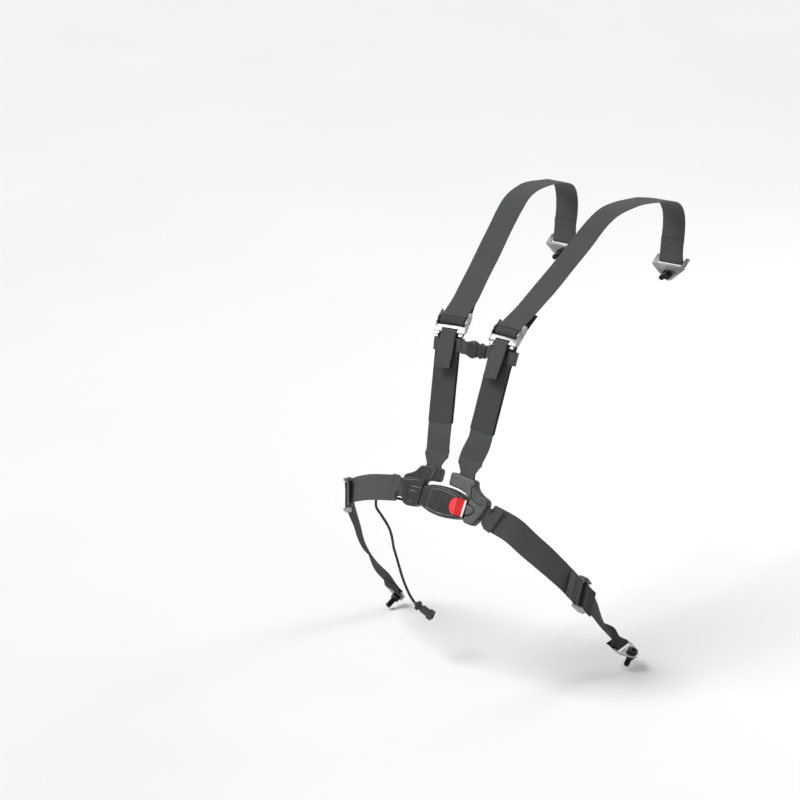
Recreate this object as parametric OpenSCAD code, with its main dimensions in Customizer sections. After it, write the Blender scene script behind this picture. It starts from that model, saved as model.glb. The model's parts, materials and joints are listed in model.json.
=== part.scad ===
// Four-point harness: two shoulder belts, a sternum strap, two lap belts and a push-button buckle.
// Origin: midway between the free ends of the shoulder anchor bolts. +Z up, -Y forward, +X wearer's left.

/* [Webbing] */
// Width of the belt webbing
belt_w = 50; // [48:1:51]
// Thickness of the belt webbing
belt_t = 1.6; // [1.2:0.1:1.8]
// Width of the sternum strap
strap_w = 25; // [20:1:27]

/* [Anchors] */
// Distance of each shoulder anchor bolt from the middle plane
anchor_x = 122; // [118:1:126]
// Radius of the anchor bolts, 7/16 inch thread
bolt_r = 5.5; // [5:0.1:6]
// Length of bolt that stands free beyond the nut
stud_free = 20; // [16:1:24]

/* [Buckle] */
// Thickness of each half of the buckle case
case_h = 13; // [12:0.5:14]
// Thickness of each half of a link cover
cover_h = 9; // [8.5:0.5:10]
// Wall thickness of the moulded covers
wall = 2.2; // [1.8:0.1:2.4]
// Distance that the release button travels
button_travel = 4; // [3:0.5:4.5]

/* [Hidden] */

webbing_grey = [0.28, 0.30, 0.28];
case_grey = [0.16, 0.17, 0.17];
steel = [0.78, 0.79, 0.80];
black = [0.05, 0.05, 0.05];
red = [0.85, 0.12, 0.12];

plate_t = 2.5;          // steel plates in the buckle and the links
fold_r = 4.2;           // webbing round a plate edge
bar_fold_r = 5;         // webbing round an adjuster bar
layer = 1.15;           // half the distance between two sewn layers
buckle_at = [0, -610, -297];
buckle_lean = 65;
adjuster_at = [60, -492, 14];
adjuster_slope = 42;
adjuster_turn = -7;
sleeve_at = [60, -509, -10];
sleeve_slope = 72;
sleeve_turn = -5;
sleeve_len = 163;
nut_h = 9;
bracket_y = stud_free / 2 + nut_h;
slot_half = 27;
slot_left = 43.3;       // middle of the shoulder slot in the left link
slot_right = 31.5;      // and in the right link
lap_left = [89, 2, 0];  // middle of the lap bar in each link, and the angle at which its belt leaves
lap_right = [78.5, -2, -23];
neck_left = [-14.5, 17.5];  // span of the opening where the plate passes into each link
neck_right = [-18.7, 5.5];
case_roll = -4.5;       // the case and the tongue lean a little in the buckle's plane
case_shift = -2.6;
frame_half = 31;
keeper_drop = 3;         // distance of the sternum strap's top edge below the sleeve frame
clip_x = 6;
clip_left = -20;         // ends of the clip from its middle
clip_right = 19;

// ---- vectors and frames ----
function unit(v) = v / norm(v);
function turn_x(a, v) = [v[0], v[1] * cos(a) - v[2] * sin(a), v[1] * sin(a) + v[2] * cos(a)];
function turn_z(a, v) = [v[0] * cos(a) - v[1] * sin(a), v[0] * sin(a) + v[1] * cos(a), v[2]];
function in_buckle(v) = buckle_at + turn_x(buckle_lean, v);
function in_case(v) = turn_z(case_roll, v) + [0, case_shift, 0];
function flat(v) = [v[0], v[1]];
function in_adjuster(v) = adjuster_at + turn_z(adjuster_turn, turn_x(adjuster_slope, v));
function in_sleeve(v) = sleeve_at + turn_x(sleeve_slope, turn_z(sleeve_turn, v));
function in_hip(hip, v) = hip[0] + turn_z(hip[1], turn_x(hip[2], turn_z(hip[3], v)));

module buckle_place() translate(buckle_at) rotate([buckle_lean, 0, 0]) children();
module case_place() buckle_place() translate([0, case_shift, 0]) rotate([0, 0, case_roll])
    children();
module adjuster_place() translate(adjuster_at) rotate([0, 0, adjuster_turn]) rotate([adjuster_slope, 0, 0])
    children();
module sleeve_place() translate(sleeve_at) rotate([sleeve_slope, 0, 0]) rotate([0, 0, sleeve_turn])
    children();
module hip_place(hip) translate(hip[0]) rotate([0, 0, hip[1]]) rotate([hip[2], 0, 0]) rotate([0, 0, hip[3]])
    children();
module side(s) if (s < 0) mirror([1, 0, 0]) children(); else children();

// ---- webbing: a station is a point, the direction of the width, and the width ----
function st(p, w, b) = concat(p, w, [b]);
function point(s) = [s[0], s[1], s[2]];
function wide(s) = [s[3], s[4], s[5]];
function spline(a, b, c, d, t) = 0.5 * (2 * b + (c - a) * t + (2 * a - 5 * b + 4 * c - d) * t * t
    + (3 * b - a - 3 * c + d) * t * t * t);
function smooth(s, n) = concat([for (i = [0:len(s) - 2]) for (k = [0:n - 1])
    spline(s[max(i - 1, 0)], s[i], s[i + 1], s[min(i + 2, len(s) - 1)], k / n)], [s[len(s) - 1]]);
// webbing that comes along t to a bar at c, goes round it and back beside itself for the length tail
function fold(c, t, w, b, r, tail) = let(n = cross(w, t)) concat(
    [st(c + 3.4 * r * t + layer * n, w, b)],
    [for (a = [70, 105, 140, 180, 220, 255, 290]) st(c + r * cos(a) * t + r * sin(a) * n, w, b)],
    [st(c + 3.4 * r * t - layer * n, w, b), st(c + tail * t - layer * n, w, b)]);
// the sewn end beside the belt spreads to full width again behind a narrow slot
function wide_tail(c, t, w) = [for (d = [27, 43]) st(c + d * t - layer * cross(w, t), w, belt_w)];
function back(s) = [for (i = [len(s) - 1:-1:0]) s[i]];
function across(s, i) = let(
    t = unit(point(s[min(i + 1, len(s) - 1)]) - point(s[max(i - 1, 0)])),
    w = wide(s[i])) unit(w - t * (w * t));
function lift(s, i) = cross(across(s, i),
    unit(point(s[min(i + 1, len(s) - 1)]) - point(s[max(i - 1, 0)])));

module ribbon(s, th) {
    n = len(s);
    pts = [for (i = [0:n - 1]) let(w = across(s, i) * s[i][6] / 2, m = lift(s, i) * th / 2, p = point(s[i]))
        each [p - w - m, p + w - m, p + w + m, p - w + m]];
    sides = [for (i = [0:n - 2]) for (j = [0:3]) let(k = (j + 1) % 4, a = 4 * i, b = 4 * i + 4)
        each [[a + j, b + k, b + j], [a + j, a + k, b + k]]];
    polyhedron(pts, concat(sides, [[0, 2, 1], [0, 3, 2]],
        [[4 * n - 4, 4 * n - 3, 4 * n - 2], [4 * n - 4, 4 * n - 2, 4 * n - 1]]));
}

module round_bar(r, l) rotate([0, 90, 0]) cylinder(r = r, h = l, center = true, $fn = 40);
module slab(x0, x1, y0, y1, z0, z1) translate([x0, y0, z0]) cube([x1 - x0, y1 - y0, z1 - z0]);

// ---- shoulder belts ----
bracket_bar = [anchor_x, bracket_y + 12.4, 23.45];
bracket_along = [0, 0, 1];
adjuster_along = turn_z(adjuster_turn, turn_x(adjuster_slope, [0, 1, 0]));
adjuster_across = turn_z(adjuster_turn, [1, 0, 0]);
sleeve_across = in_sleeve([1, 0, 0]) - sleeve_at;
shoulder_route = [
    [[122, 33, 58], [1, 0, 0]], [[122, 38, 88], [1, 0, 0]], [[122, 36, 118], [1, 0, 0]],
    [[121, 24, 141], [1, 0, 0]], [[119, 2, 156], [1, 0, 0]], [[115, -40, 167], [1, -0.05, 0]],
    [[112, -90, 176], [1, -0.1, 0]], [[107, -140, 181], [1, -0.12, 0]],
    [[101, -190, 177], [1, -0.12, 0]], [[95, -235, 160], [1, -0.12, 0]],
    [[88, -290, 127], [1, -0.12, 0]], [[80, -345, 95], [1, -0.12, 0]],
    [[73, -395, 67], [1, -0.12, 0]], [[66, -440, 43], [1, -0.12, 0]]];
function shoulder_stations() = smooth(concat(
    back(fold(bracket_bar, bracket_along, [1, 0, 0], belt_w, fold_r, 45)),
    [for (q = shoulder_route) st(q[0], q[1], belt_w)],
    fold(adjuster_at, adjuster_along, adjuster_across, belt_w, bar_fold_r, 19)), 3);

module shoulder_webbing(s) color(webbing_grey) side(s) ribbon(shoulder_stations(), belt_t);

base_z = -8;            // face of the adjuster's base plate
base_bar = [0, -14.25, base_z + 1];
module arm_profile() polygon([[-16.5, -8], [16, -8], [21, -4], [22, 2], [18, 6], [8, 6], [2, 9], [-6, 9],
    [-12, 5], [-21, 4], [-23, 0], [-23, -3.5], [-20, -5.5]]);
module adjuster_frame(s) color(steel) side(s) adjuster_place() difference() {
    union() {
        for (x = [-frame_half, frame_half - 2.4])
            translate([x, 0, 0]) rotate([90, 0, 90]) linear_extrude(2.4) arm_profile();
        slab(-frame_half, frame_half, -17, 2, base_z, base_z + 2);
        slab(-frame_half, frame_half, -25, -21, -0.5, 3.5);
        slab(-frame_half, frame_half, -16.6, -11, 1, 3.5);
        for (x = [-frame_half, 16.5]) slab(x, x + frame_half - 16.5, -22, -15, 1, 3.5);
        for (x = [-24, 24]) slab(x - 4, x + 4, -31, -21, -2, 1);
    }
    slab(-slot_half, slot_half, -11.5, -2.5, base_z - 1, base_z + 3);
    for (y = [12, 17]) translate([0, y, -1]) round_bar(1.6, 2 * frame_half + 2);
    round_bar(3.6, 2 * frame_half + 2);
}
module adjuster_bar(s) color(steel) side(s) adjuster_place() round_bar(3.57, 2 * frame_half - 1);

function lower_stations(slot_x, slot_y) = let(
    up = turn_x(buckle_lean, [0, 1, 0]),
    loop = in_adjuster(base_bar), out = unit(in_sleeve([0, -12, 0]) - loop),
    a = fold(loop, out, adjuster_across, belt_w, 3.9, 17),
    end = in_buckle([slot_x, slot_y, 0]), b = fold(end, up, [1, 0, 0], 31.5, fold_r, 20)) smooth(concat(
    back(a),
    [for (y = [-18, -32, -70, -120, -160]) st(in_sleeve([0, y, 0]), sleeve_across, belt_w)],
    [st(in_sleeve([0, -185, 0.6]), [1, -0.02, -0.08], belt_w),
        st(in_buckle([slot_x, 90, 0]), [1, 0, -0.03], belt_w),
        st(end + 26 * up + layer * cross([1, 0, 0], up), [1, 0, 0], belt_w)],
    b, wide_tail(end, up, [1, 0, 0])), 3);
module lower_webbing(s) color(webbing_grey) side(s)
    ribbon(s < 0 ? lower_stations(slot_left, 47.3) : lower_stations(slot_right, 46), belt_t);

flap_route = [[3, 58, -17.5], [1, 30, -15], [0, 2, -13.2], [0, -14, -13.2]];
function flap_stations() = smooth(concat(
    [for (p = flap_route) st(in_adjuster(p), adjuster_across, belt_w)],
    [for (y = [-12, -40, -70]) st(in_sleeve([0, y, -4.4]), sleeve_across, belt_w)]), 2);
module backing_flap(s) color(webbing_grey) side(s) ribbon(flap_stations(), belt_t);

module sleeve(s) color(webbing_grey) side(s) sleeve_place() difference() {
    slab(-26.4, 26.4, -sleeve_len, -22, -2.1, 2.1);
    slab(-25.4, 25.4, -sleeve_len - 1, -21, -1.2, 1.2);
}

tab_at = [0, -23, 1.5];
tab_w = 30;
tab_len = 70;
tab_out = unit(in_adjuster([0, -cos(11), -sin(11)]) - adjuster_at);
tab_down = unit([-6, -38, -66]);
function tab_stations() = let(
    c = in_adjuster(tab_at), w = adjuster_across, n = cross(w, tab_down)) smooth(concat(
    [st(c + tab_len * tab_down + layer * n, w, tab_w), st(c + 36 * tab_down + layer * n, w, tab_w)],
    fold(c, tab_out, w, tab_w, 4.2, 17),
    [st(c + 36 * tab_down - layer * n, w, tab_w), st(c + tab_len * tab_down - layer * n, w, tab_w)]), 2);
module pull_tab(s) color(webbing_grey) side(s) ribbon(tab_stations(), belt_t);

module shoulder_bracket(s) color(steel) side(s) translate([anchor_x, 0, 0]) difference() {
    union() {
        translate([0, bracket_y + 3, 0]) rotate([90, 0, 0]) linear_extrude(3) hull() {
            circle(r = 14, $fn = 64);
            translate([-36, 14]) square([72, 4]);
        }
        translate([0, bracket_y, 18]) rotate([30, 0, 0]) slab(-36, 36, 0, 26, -3, 0);
    }
    translate([0, bracket_y + 10, 0]) rotate([90, 0, 0]) cylinder(r = bolt_r + 0.05, h = 20, $fn = 64);
    for (y = [3.5, 16.2]) translate([0, bracket_y, 18]) rotate([30, 0, 0])
        slab(-slot_half, slot_half, y, y + (y < 10 ? 7.3 : 11), -6, 3);
}
module hex_nut(h) difference() {
    cylinder(r = 10, h = h, $fn = 6);
    translate([0, 0, -1]) cylinder(r = bolt_r - 0.23, h = h + 2, $fn = 64);
}
module bolt(grip) {
    translate([0, 0, -grip - 7]) cylinder(r = 10, h = 7, $fn = 64);
    translate([0, 0, -grip - 0.5]) cylinder(r = bolt_r - 0.25, h = grip + nut_h + 1, $fn = 64);
    translate([0, 0, nut_h]) cylinder(r = bolt_r, h = stud_free, $fn = 64);
}
module shoulder_place() translate([anchor_x, bracket_y, 0]) rotate([90, 0, 0]) children();
module shoulder_bolt(s) color(black) side(s) shoulder_place() bolt(3.1);
module shoulder_nut(s) color(black) side(s) shoulder_place() translate([0, 0, 0.1]) hex_nut(nut_h - 0.1);

// ---- sternum strap ----
strap_at = in_sleeve([0, -keeper_drop - strap_w / 2, 0]);
module strap_place() translate([0, strap_at[1], strap_at[2]]) rotate([sleeve_slope, 0, 0]) children();
module keeper(s) {
    side(s) sleeve_place() translate([0, -keeper_drop, 0]) difference() {
        slab(-30.2, 30.2, -strap_w, 0, -11.8, 3.5);
        slab(-28.9, 28.9, -strap_w - 1, 1, -10.6, 2.4);
    }
    h = strap_w / 2;
    x0 = clip_x + (s < 0 ? clip_left : clip_right);
    strap_place() linear_extrude(belt_t) polygon([[x0, -h], [x0, h], [s * 30.3, h], [s * 28.1, -h]]);
}
module sternum_keeper(s) color(webbing_grey) keeper(s);
module clip_place() strap_place() translate([clip_x, 0, belt_t / 2]) children();
module sternum_socket() color(black) clip_place() difference() {
    slab(clip_left, 2, -17, 17, -5.5, 5.5);
    slab(clip_left + 4, 3, -13.5, 13.5, -3.5, 3.5);
}
module sternum_plug() color(black) clip_place() {
    slab(2.5, clip_right, -15, 15, -5, 5);
    for (y = [-12.5, 9.5]) slab(-8, 3, y, y + 3, -3, 3);
    slab(-9, 3, -2, 2, -2.5, 2.5);
}

// ---- buckle ----
button_bottom = 2 + button_travel;
case_l = -52;
case_r = 47;
function case_half(x, inset) = 28.5 - inset - 10.5 * pow((x + 2) / 50, 2);
function case_outline(inset) = let(
    x0 = case_l + inset, x1 = case_r - inset,
    xs = [for (k = [0:10]) x0 + (x1 - x0) * k / 10]) concat([for (x = xs) [x, case_half(x, inset)]], 
    [for (k = [10:-1:0]) [xs[k], -case_half(xs[k], inset)]]);
module button_shape(gap) union() {
    translate([30, 0]) circle(r = 16.5 + gap, $fn = 96);
    translate([30, -16.5 - gap]) square([16.6 + gap, 33 + 2 * gap]);
}
module buckle_front_cover() color(case_grey) case_place() difference() {
    linear_extrude(case_h) polygon(case_outline(0));
    translate([0, 0, -1]) linear_extrude(case_h - wall + 1) polygon(case_outline(wall));
    translate([0, 0, 1.6]) linear_extrude(case_h) button_shape(0.4);
    slab(case_r - 4, case_r + 1, -14, 14, -1, 2);
    slab(case_l - 1, case_l + 4, -16, 16, -1, 1.6);
}
module buckle_rear_cover() color(case_grey) case_place() difference() {
    translate([0, 0, -case_h]) linear_extrude(case_h) polygon(case_outline(0));
    translate([0, 0, wall - case_h]) linear_extrude(case_h) polygon(case_outline(wall));
    slab(case_r - 4, case_r + 1, -14, 14, -2, 1);
    slab(case_l - 1, case_l + 4, -16, 16, -1.6, 1);
    for (x = [-40, 34]) translate([x, 0, -case_h - 1]) cylinder(r = 2.1, h = wall + 2, $fn = 32);
    slab(case_l - 1, case_l + 4, -9, -3, -7, -3);
}
module release_button() color(red) case_place() difference() {
    translate([0, 0, button_bottom]) linear_extrude(case_h + 0.8 - button_bottom) button_shape(0);
    for (y = [-11, 11]) translate([30, y, button_bottom - 1]) cylinder(r = 2.4, h = 5, $fn = 32);
}
module latch_pawl() color(steel) case_place() union() {
    slab(-14, 9, -10, 10, 1.9, 4.9);
    slab(-14, -11, -10, 10, 4.9, 7);
}
module ejector() color(black) case_place() slab(-16, -4.5, -9, 9, -1.2, 1.2);
module spring_tube(r, h) difference() {
    cylinder(r = r, h = h, $fn = 40);
    translate([0, 0, -1]) cylinder(r = r - 0.8, h = h + 2, $fn = 40);
}
module buckle_springs() color(steel) case_place() {
    translate([-33.4, 0, 0.2]) rotate([0, 90, 0]) spring_tube(2.2, 17);
}
module buckle_frame() color(steel) buckle_place() difference() {
    union() {
        linear_extrude(plate_t, center = true) polygon(concat([[-26, 40], [-26, 50.5], [-62, 50.5],
            [-64, 41], [-86, 24], [-90, 20], [-88, -14], [-66, -17]],
            [for (p = [[-58, -13], [-36, -13], [-36, 13], [-56, 13]]) flat(in_case(p))],
            [[-57, 30], [-44, 37]]));
        case_shape() {
            slab(-38, -34.5, -14, 14, -5, plate_t / 2);
            slab(-38, 42, -14, 14, -5, -2.5);
            for (y = [-15.5, 12.5]) slab(-38, 17, y, y + 3, -5, 4);
        }
    }
    translate([-slot_left, 44, 0]) slab(-16.8, 16.8, -3, 0.2, -3, 3);
    translate([-lap_left[0], lap_left[1], 0]) slab(3, 7.6, -15.3, 15.3, -3, 3);
}
module case_shape() translate([0, case_shift, 0]) rotate([0, 0, case_roll]) children();
module buckle_switch() color(black) case_place() slab(-46, -39, -11, 5, -9, -5.2);
module cover_screws() color(black) buckle_place() {
    case_shape() for (x = [-40, 34]) translate([x, 0, -case_h - 0.8]) {
        cylinder(r = 3.4, h = 0.8, $fn = 32);
        cylinder(r = 1.95, h = 3.4, $fn = 32);
    }
    for (p = left_screws) link_screw(p);
}
module link_screw(p) translate([p[0], p[1], -cover_h - 0.8]) {
    cylinder(r = 3.4, h = 0.8, $fn = 32);
    cylinder(r = 1.95, h = 4, $fn = 32);
}

// ---- link covers: the left one is drawn mirrored ----
right_outer = [[0.5, 33], [0.5, 52], [3, 55.5], [9, 56], [22, 54], [49, 51], [55, 49], [57, 44],
    [58.5, 39], [63, 33], [67, 30], [75, 25], [86, 21], [90, 17], [91.5, 11], [89, 2], [84, -11], [76, -24],
    [70, -32], [66, -33.5], [60, -33], [50, -31], [47, -28.5], [47.4, -23], [49.9, 12.5],
    [46, 16], [42.5, 20], [38, 23], [30, 26], [20, 28.3], [3, 30.5]];
right_inner = [[4, 36], [4, 50], [9, 52.5], [22, 51], [47, 48], [52, 46], [55, 38], [60, 31], [65, 27],
    [74, 22], [84, 18], [87, 15], [88, 11], [86, 2], [81, -11], [73, -23], [68, -29.5], [60, -30],
    [51, -28], [50.4, -23], [52.9, 14], [48, 19.5], [43, 24.5], [32, 29.5], [20, 31.5]];
right_well = [[44, 8], [55, 5], [63, 2], [69, -3], [68, -9], [62, -16], [52, -20], [44, -20]];
left_outer = [[21.5, 36], [21, 50], [23, 56], [28, 57.5], [50, 57], [66, 54], [70, 48.5], [75, 42],
    [84, 36.5], [92, 33.5], [96, 30], [98.5, 24], [99, 18], [96.5, 0], [93, -13], [91, -19], [86, -23],
    [78, -25.5], [66, -24.5], [58.5, -22.5], [55.2, -19], [51.9, 20], [50.5, 26], [47, 29], [42, 30.3], [30, 31],
    [24, 32]];
left_inner = [[25, 39], [24.5, 50], [28, 54], [50, 54], [64, 51], [68, 46], [73, 39], [84, 33], [90, 30.5],
    [94, 27], [95.5, 18], [93.5, 0], [90, -13], [87, -18], [84, -20], [77, -22.5], [67, -21.5],
    [58.5, -18], [55, 21], [53, 28], [48, 32], [42, 33.5], [30, 34.5]];
left_well = [[56, 14], [84, 12], [88, 10], [88, 0], [82, -13], [70, -16], [57, -15]];
module link_front(outer, inner, well, slot, lap, neck) difference() {
    linear_extrude(cover_h) polygon(outer);
    translate([0, 0, -1]) linear_extrude(1 + 3.2) polygon(inner);
    translate([0, 0, 5.8]) linear_extrude(cover_h) polygon(well);
    belt_mouths(slot, lap, neck, -1, 5.3);
}
module link_rear(outer, inner, slot, lap, neck) difference() {
    translate([0, 0, -cover_h]) linear_extrude(cover_h) polygon(outer);
    translate([0, 0, wall - cover_h]) linear_extrude(cover_h) polygon(inner);
    belt_mouths(slot, lap, neck, wall - cover_h + 0.4, 1);
}
module belt_mouths(slot, lap, neck, z0, z1) {
    slab(slot - 17.3, slot + 17.3, 36, 64, z0, z1);
    translate([lap[0], lap[1], 0]) rotate([0, 0, lap[2]]) slab(-5.4, 26, -15.8, 15.8, z0, z1);
    slab(43, 60, neck[0], neck[1], max(z0, -2.2), min(z1, 2.2));
}
left_screws = [[-69, 38], [-71, -18]];
right_screws = [[60, 24], [58, -25]];
module link_screw_holes(points) for (p = points)
    translate([p[0], p[1], -cover_h - 1]) cylinder(r = 2.1, h = wall + 2, $fn = 32);
module left_link_front_cover() color(case_grey) buckle_place() mirror([1, 0, 0])
    link_front(left_outer, left_inner, left_well, slot_left, lap_left, neck_left);
module left_link_rear_cover() color(case_grey) buckle_place() difference() {
    mirror([1, 0, 0]) link_rear(left_outer, left_inner, slot_left, lap_left, neck_left);
    link_screw_holes(left_screws);
}
module right_link_front_cover() color([0.42, 0.44, 0.43]) buckle_place()
    link_front(right_outer, right_inner, right_well, slot_right, lap_right, neck_right);
module right_link_rear_cover() color(case_grey) buckle_place() difference() {
    link_rear(right_outer, right_inner, slot_right, lap_right, neck_right);
    link_screw_holes(right_screws);
}
module right_link_screws() color(black) buckle_place() {
    for (p = right_screws) link_screw(p);
}
module tongue_plate() color(steel) buckle_place() difference() {
    linear_extrude(plate_t - 0.1, center = true) polygon(concat([[12.5, 38], [12.5, 49.6], [40, 49],
        [49.8, 46.6], [53.5, 38], [62, 27.5], [78, 17.8], [87.6, 12.2], [74.8, -18.3], [60, -17]],
        [for (p = [[53, -11], [-2, -11], [-4, -9], [-4, 9], [-2, 11], [53, 11]]) flat(in_case(p))],
        [[54, 24], [44, 30], [34, 34]]));
    case_shape() slab(0.5, 9.5, -7, 7, -3, 3);
    translate([slot_right, 43, 0]) slab(-16.3, 16.3, -3.2, 0, -3, 3);
    translate([lap_right[0], lap_right[1], 0]) rotate([0, 0, lap_right[2]])
        slab(-7.6, -3, -15.3, 15.3, -3, 3);
}

// ---- electrical lead ----
lead_r = 2.6;
lead_route = [[-97, -602, -320], [-111, -602, -320], [-126, -602, -320], [-141, -601, -321],
    [-155, -598, -325], [-165, -595, -331], [-170, -592, -342], [-170, -590, -356], [-162, -588, -368],
    [-153, -586, -381], [-145, -583, -397], [-141, -580, -416], [-140, -576, -437], [-136, -572, -458],
    [-132, -568, -480], [-127, -565, -501], [-120, -563, -520], [-111, -562, -537], [-101, -561, -550]];
function lead_points() = let(s = smooth([for (p = lead_route) st(p, [0, 1, 0], 1)], 2))
    [for (q = s) point(q)];
module tube(pts, r, sides) {
    n = len(pts);
    ring = [for (i = [0:n - 1]) let(t = unit(pts[min(i + 1, n - 1)] - pts[max(i - 1, 0)]),
            u = unit(cross(t, [0, 1, 0])), v = cross(t, u))
        each [for (k = [0:sides - 1]) pts[i] + r * (cos(360 * k / sides) * u + sin(360 * k / sides) * v)]];
    skin = [for (i = [0:n - 2]) for (k = [0:sides - 1]) let(m = (k + 1) % sides, a = sides * i, b = a + sides)
        each [[a + k, b + k, b + m], [a + k, b + m, a + m]]];
    polyhedron(ring, concat(skin, [for (k = [1:sides - 2]) [0, k, k + 1]],
        [for (k = [1:sides - 2]) let(e = sides * (n - 1)) [e, e + k + 1, e + k]]));
}
module lead_cable() color(black) tube(lead_points(), lead_r, 10);
module lead_gland() color(black) translate(lead_route[0]) rotate([0, 90, 0]) difference() {
    union() {
        cylinder(r1 = 3.8, r2 = 5.5, h = 24, $fn = 48);
        translate([0, 0, 24]) cylinder(r = 6.5, h = 5, $fn = 48);
    }
    translate([0, 0, -1]) cylinder(r = 1.2, h = 35, $fn = 32);
}
lead_end = lead_route[len(lead_route) - 1];
module connector_place() translate(lead_end) rotate([0, 90 + 24, 0]) children();
module connector_boot() color(black) connector_place() union() {
    translate([0, 0, 1.4]) cylinder(r = 4.2, h = 7, $fn = 48);
    slab(-8, 8, -5, 5, 5, 12);
    slab(-4.5, 4.5, -4, 4, 12, 26);
}
module connector_body() color(black) connector_place() difference() {
    union() {
        slab(-6, 6, -5.2, 5.2, 18, 36);
        slab(-8.5, 8.5, -6.5, 6.5, 34, 45);
    }
    slab(-4.8, 4.8, -4.3, 4.3, 17, 26.3);
    slab(-6.5, 6.5, -4.5, 4.5, 38, 46);
}

// ---- lap belts: hip = place, turn about Z, lean and turn in the plane of the adjuster ----
hip_left = [[-266, -545, -366], -56.6, 90, 125.4];
hip_right = [[243, -518, -463], 94, 80, -135];
lap_t_left = [-1, 0, 0];
lap_t_right = turn_x(buckle_lean, turn_z(lap_right[2], unit([1, 0, -0.12])));
lap_route_left = [[[-150, -602, -305], [0, 0.42, 0.9]], [[-185, -592, -316], [-0.1, 0.4, 0.9]],
    [[-220, -577, -332], [-0.2, 0.45, 0.85]], [[-246, -561, -348], [-0.3, 0.48, 0.82]]];
lap_route_right = [[[140, -603, -326], [0.2, 0.5, 0.8]], [[171, -592, -354], [0.1, 0.58, 0.78]],
    [[201, -573, -387], [0, 0.65, 0.74]], [[225, -548, -424], [-0.1, 0.69, 0.72]]];
function hip_axis(hip, v) = in_hip(hip, v) - hip[0];
function lap_inner(hip, t, c, route, up) = let(
    w = unit(cross(turn_x(buckle_lean, [0, 0, up]), -t))) smooth(concat(
    back(wide_tail(c, t, w)), back(fold(c, t, w, 29, fold_r, 20)),
    [st(c + 26 * t + layer * cross(w, t), w, belt_w)],
    [for (q = route) st(q[0], q[1], belt_w)],
    fold(in_hip(hip, [0, -9, -3]), hip_axis(hip, [0, -1, 0]), hip_axis(hip, [up, 0, 0]),
        belt_w, fold_r, 40)), 4);
lap_bar_at_left = in_buckle([-lap_left[0], lap_left[1], 0]);
lap_bar_at_right = in_buckle([lap_right[0], lap_right[1], 0]);
module lap_inner_webbing_left() color(webbing_grey)
    ribbon(lap_inner(hip_left, lap_t_left, lap_bar_at_left, lap_route_left, 1), belt_t);
module lap_inner_webbing_right() color(webbing_grey)
    ribbon(lap_inner(hip_right, lap_t_right, lap_bar_at_right, lap_route_right, -1), belt_t);

module lap_profile() polygon([[-16, -7], [14, -7], [20, -3], [22, 3], [17, 7], [9, 7], [2, 9], [-6, 9],
    [-12, 4], [-18, 0]]);
module lap_adjuster(hip) color(steel) hip_place(hip) difference() {
    union() {
        for (x = [-frame_half, frame_half - 2.4])
            translate([x, 0, 0]) rotate([90, 0, 90]) linear_extrude(2.4) lap_profile();
        translate([0, -9, -3]) round_bar(2.5, 2 * frame_half - 1);
    }
    translate([0, 6, 0]) round_bar(3.6, 2 * frame_half + 2);
}
module lap_bar(hip) color(steel) hip_place(hip) translate([0, 6, 0]) round_bar(3.57, 2 * frame_half - 1);
module lap_adjuster_left() lap_adjuster(hip_left);
module lap_adjuster_right() lap_adjuster(hip_right);
module lap_bar_left() lap_bar(hip_left);
module lap_bar_right() lap_bar(hip_right);

anchor_left = [[-263, -372, -644], 0, 123, 0, -15];
anchor_right = [[279, -378, -630], -90, 158, 0, 0];
anchor_slot = 19;
function in_anchor(a, v) = a[0] + turn_z(a[1], turn_x(a[2], [v[0] * cos(a[4]) + v[2] * sin(a[4]), v[1],
    v[2] * cos(a[4]) - v[0] * sin(a[4])]));
module anchor_place(a) translate(a[0]) rotate([0, 0, a[1]]) rotate([a[2], 0, 0]) rotate([0, a[4], 0])
    children();
outer_route_left = [[[-281, -503, -425], [-0.38, 0.6, 0.7]], [[-289, -478, -464], [-0.4, 0.65, 0.35]],
    [[-292, -452, -506], [-0.5, 0.75, 0]], [[-288, -428, -545], [-0.8, 0.55, 0.1]],
    [[-279, -408, -582], [-0.95, 0.2, 0.1]]];
outer_route_right = [[[244, -482, -494], [-0.35, 0.78, 0.5]], [[242, -452, -528], [-0.42, 0.8, 0.25]],
    [[238, -422, -560], [-0.5, 0.8, -0.1]], [[235, -397, -588], [-0.5, 0.8, -0.3]],
    [[237, -382, -606], [-0.2, 0.95, -0.15]]];
function lap_outer(hip, anchor, route, up) = smooth(concat(
    back(fold(in_hip(hip, [0, 6, 0]), hip_axis(hip, [0, 1, 0]), hip_axis(hip, [up, 0, 0]),
        belt_w, bar_fold_r, 45)),
    [for (q = route) st(q[0], q[1], belt_w)],
    fold(in_anchor(anchor, [0, anchor_slot + 7, 1.5]), in_anchor(anchor, [0, 1, 0]) - anchor[0],
        in_anchor(anchor, [-1, 0, 0]) - anchor[0], 42, fold_r, 22)), 4);
module lap_outer_webbing_left() color(webbing_grey)
    ribbon(lap_outer(hip_left, anchor_left, outer_route_left, 1), belt_t);
module lap_outer_webbing_right() color(webbing_grey)
    ribbon(lap_outer(hip_right, anchor_right, outer_route_right, -1), belt_t);
module lap_plate(a) color(steel) anchor_place(a) difference() {
    linear_extrude(3) hull() {
        circle(r = 13.5, $fn = 64);
        translate([-26, anchor_slot - 7]) square([52, 17]);
    }
    translate([0, 0, -1]) cylinder(r = bolt_r + 0.05, h = 5, $fn = 64);
    slab(-22.5, 22.5, anchor_slot - 3, anchor_slot + 4, -1, 4);
}
module lap_anchor_left() lap_plate(anchor_left);
module lap_anchor_right() lap_plate(anchor_right);
module lap_bolt_left() color(black) anchor_place(anchor_left) translate([0, 0, 3]) bolt(3.1);
module lap_bolt_right() color(black) anchor_place(anchor_right) translate([0, 0, 3]) bolt(3.1);
module lap_nut_left() color(black) anchor_place(anchor_left) translate([0, 0, 3.1]) hex_nut(nut_h - 0.1);
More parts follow.
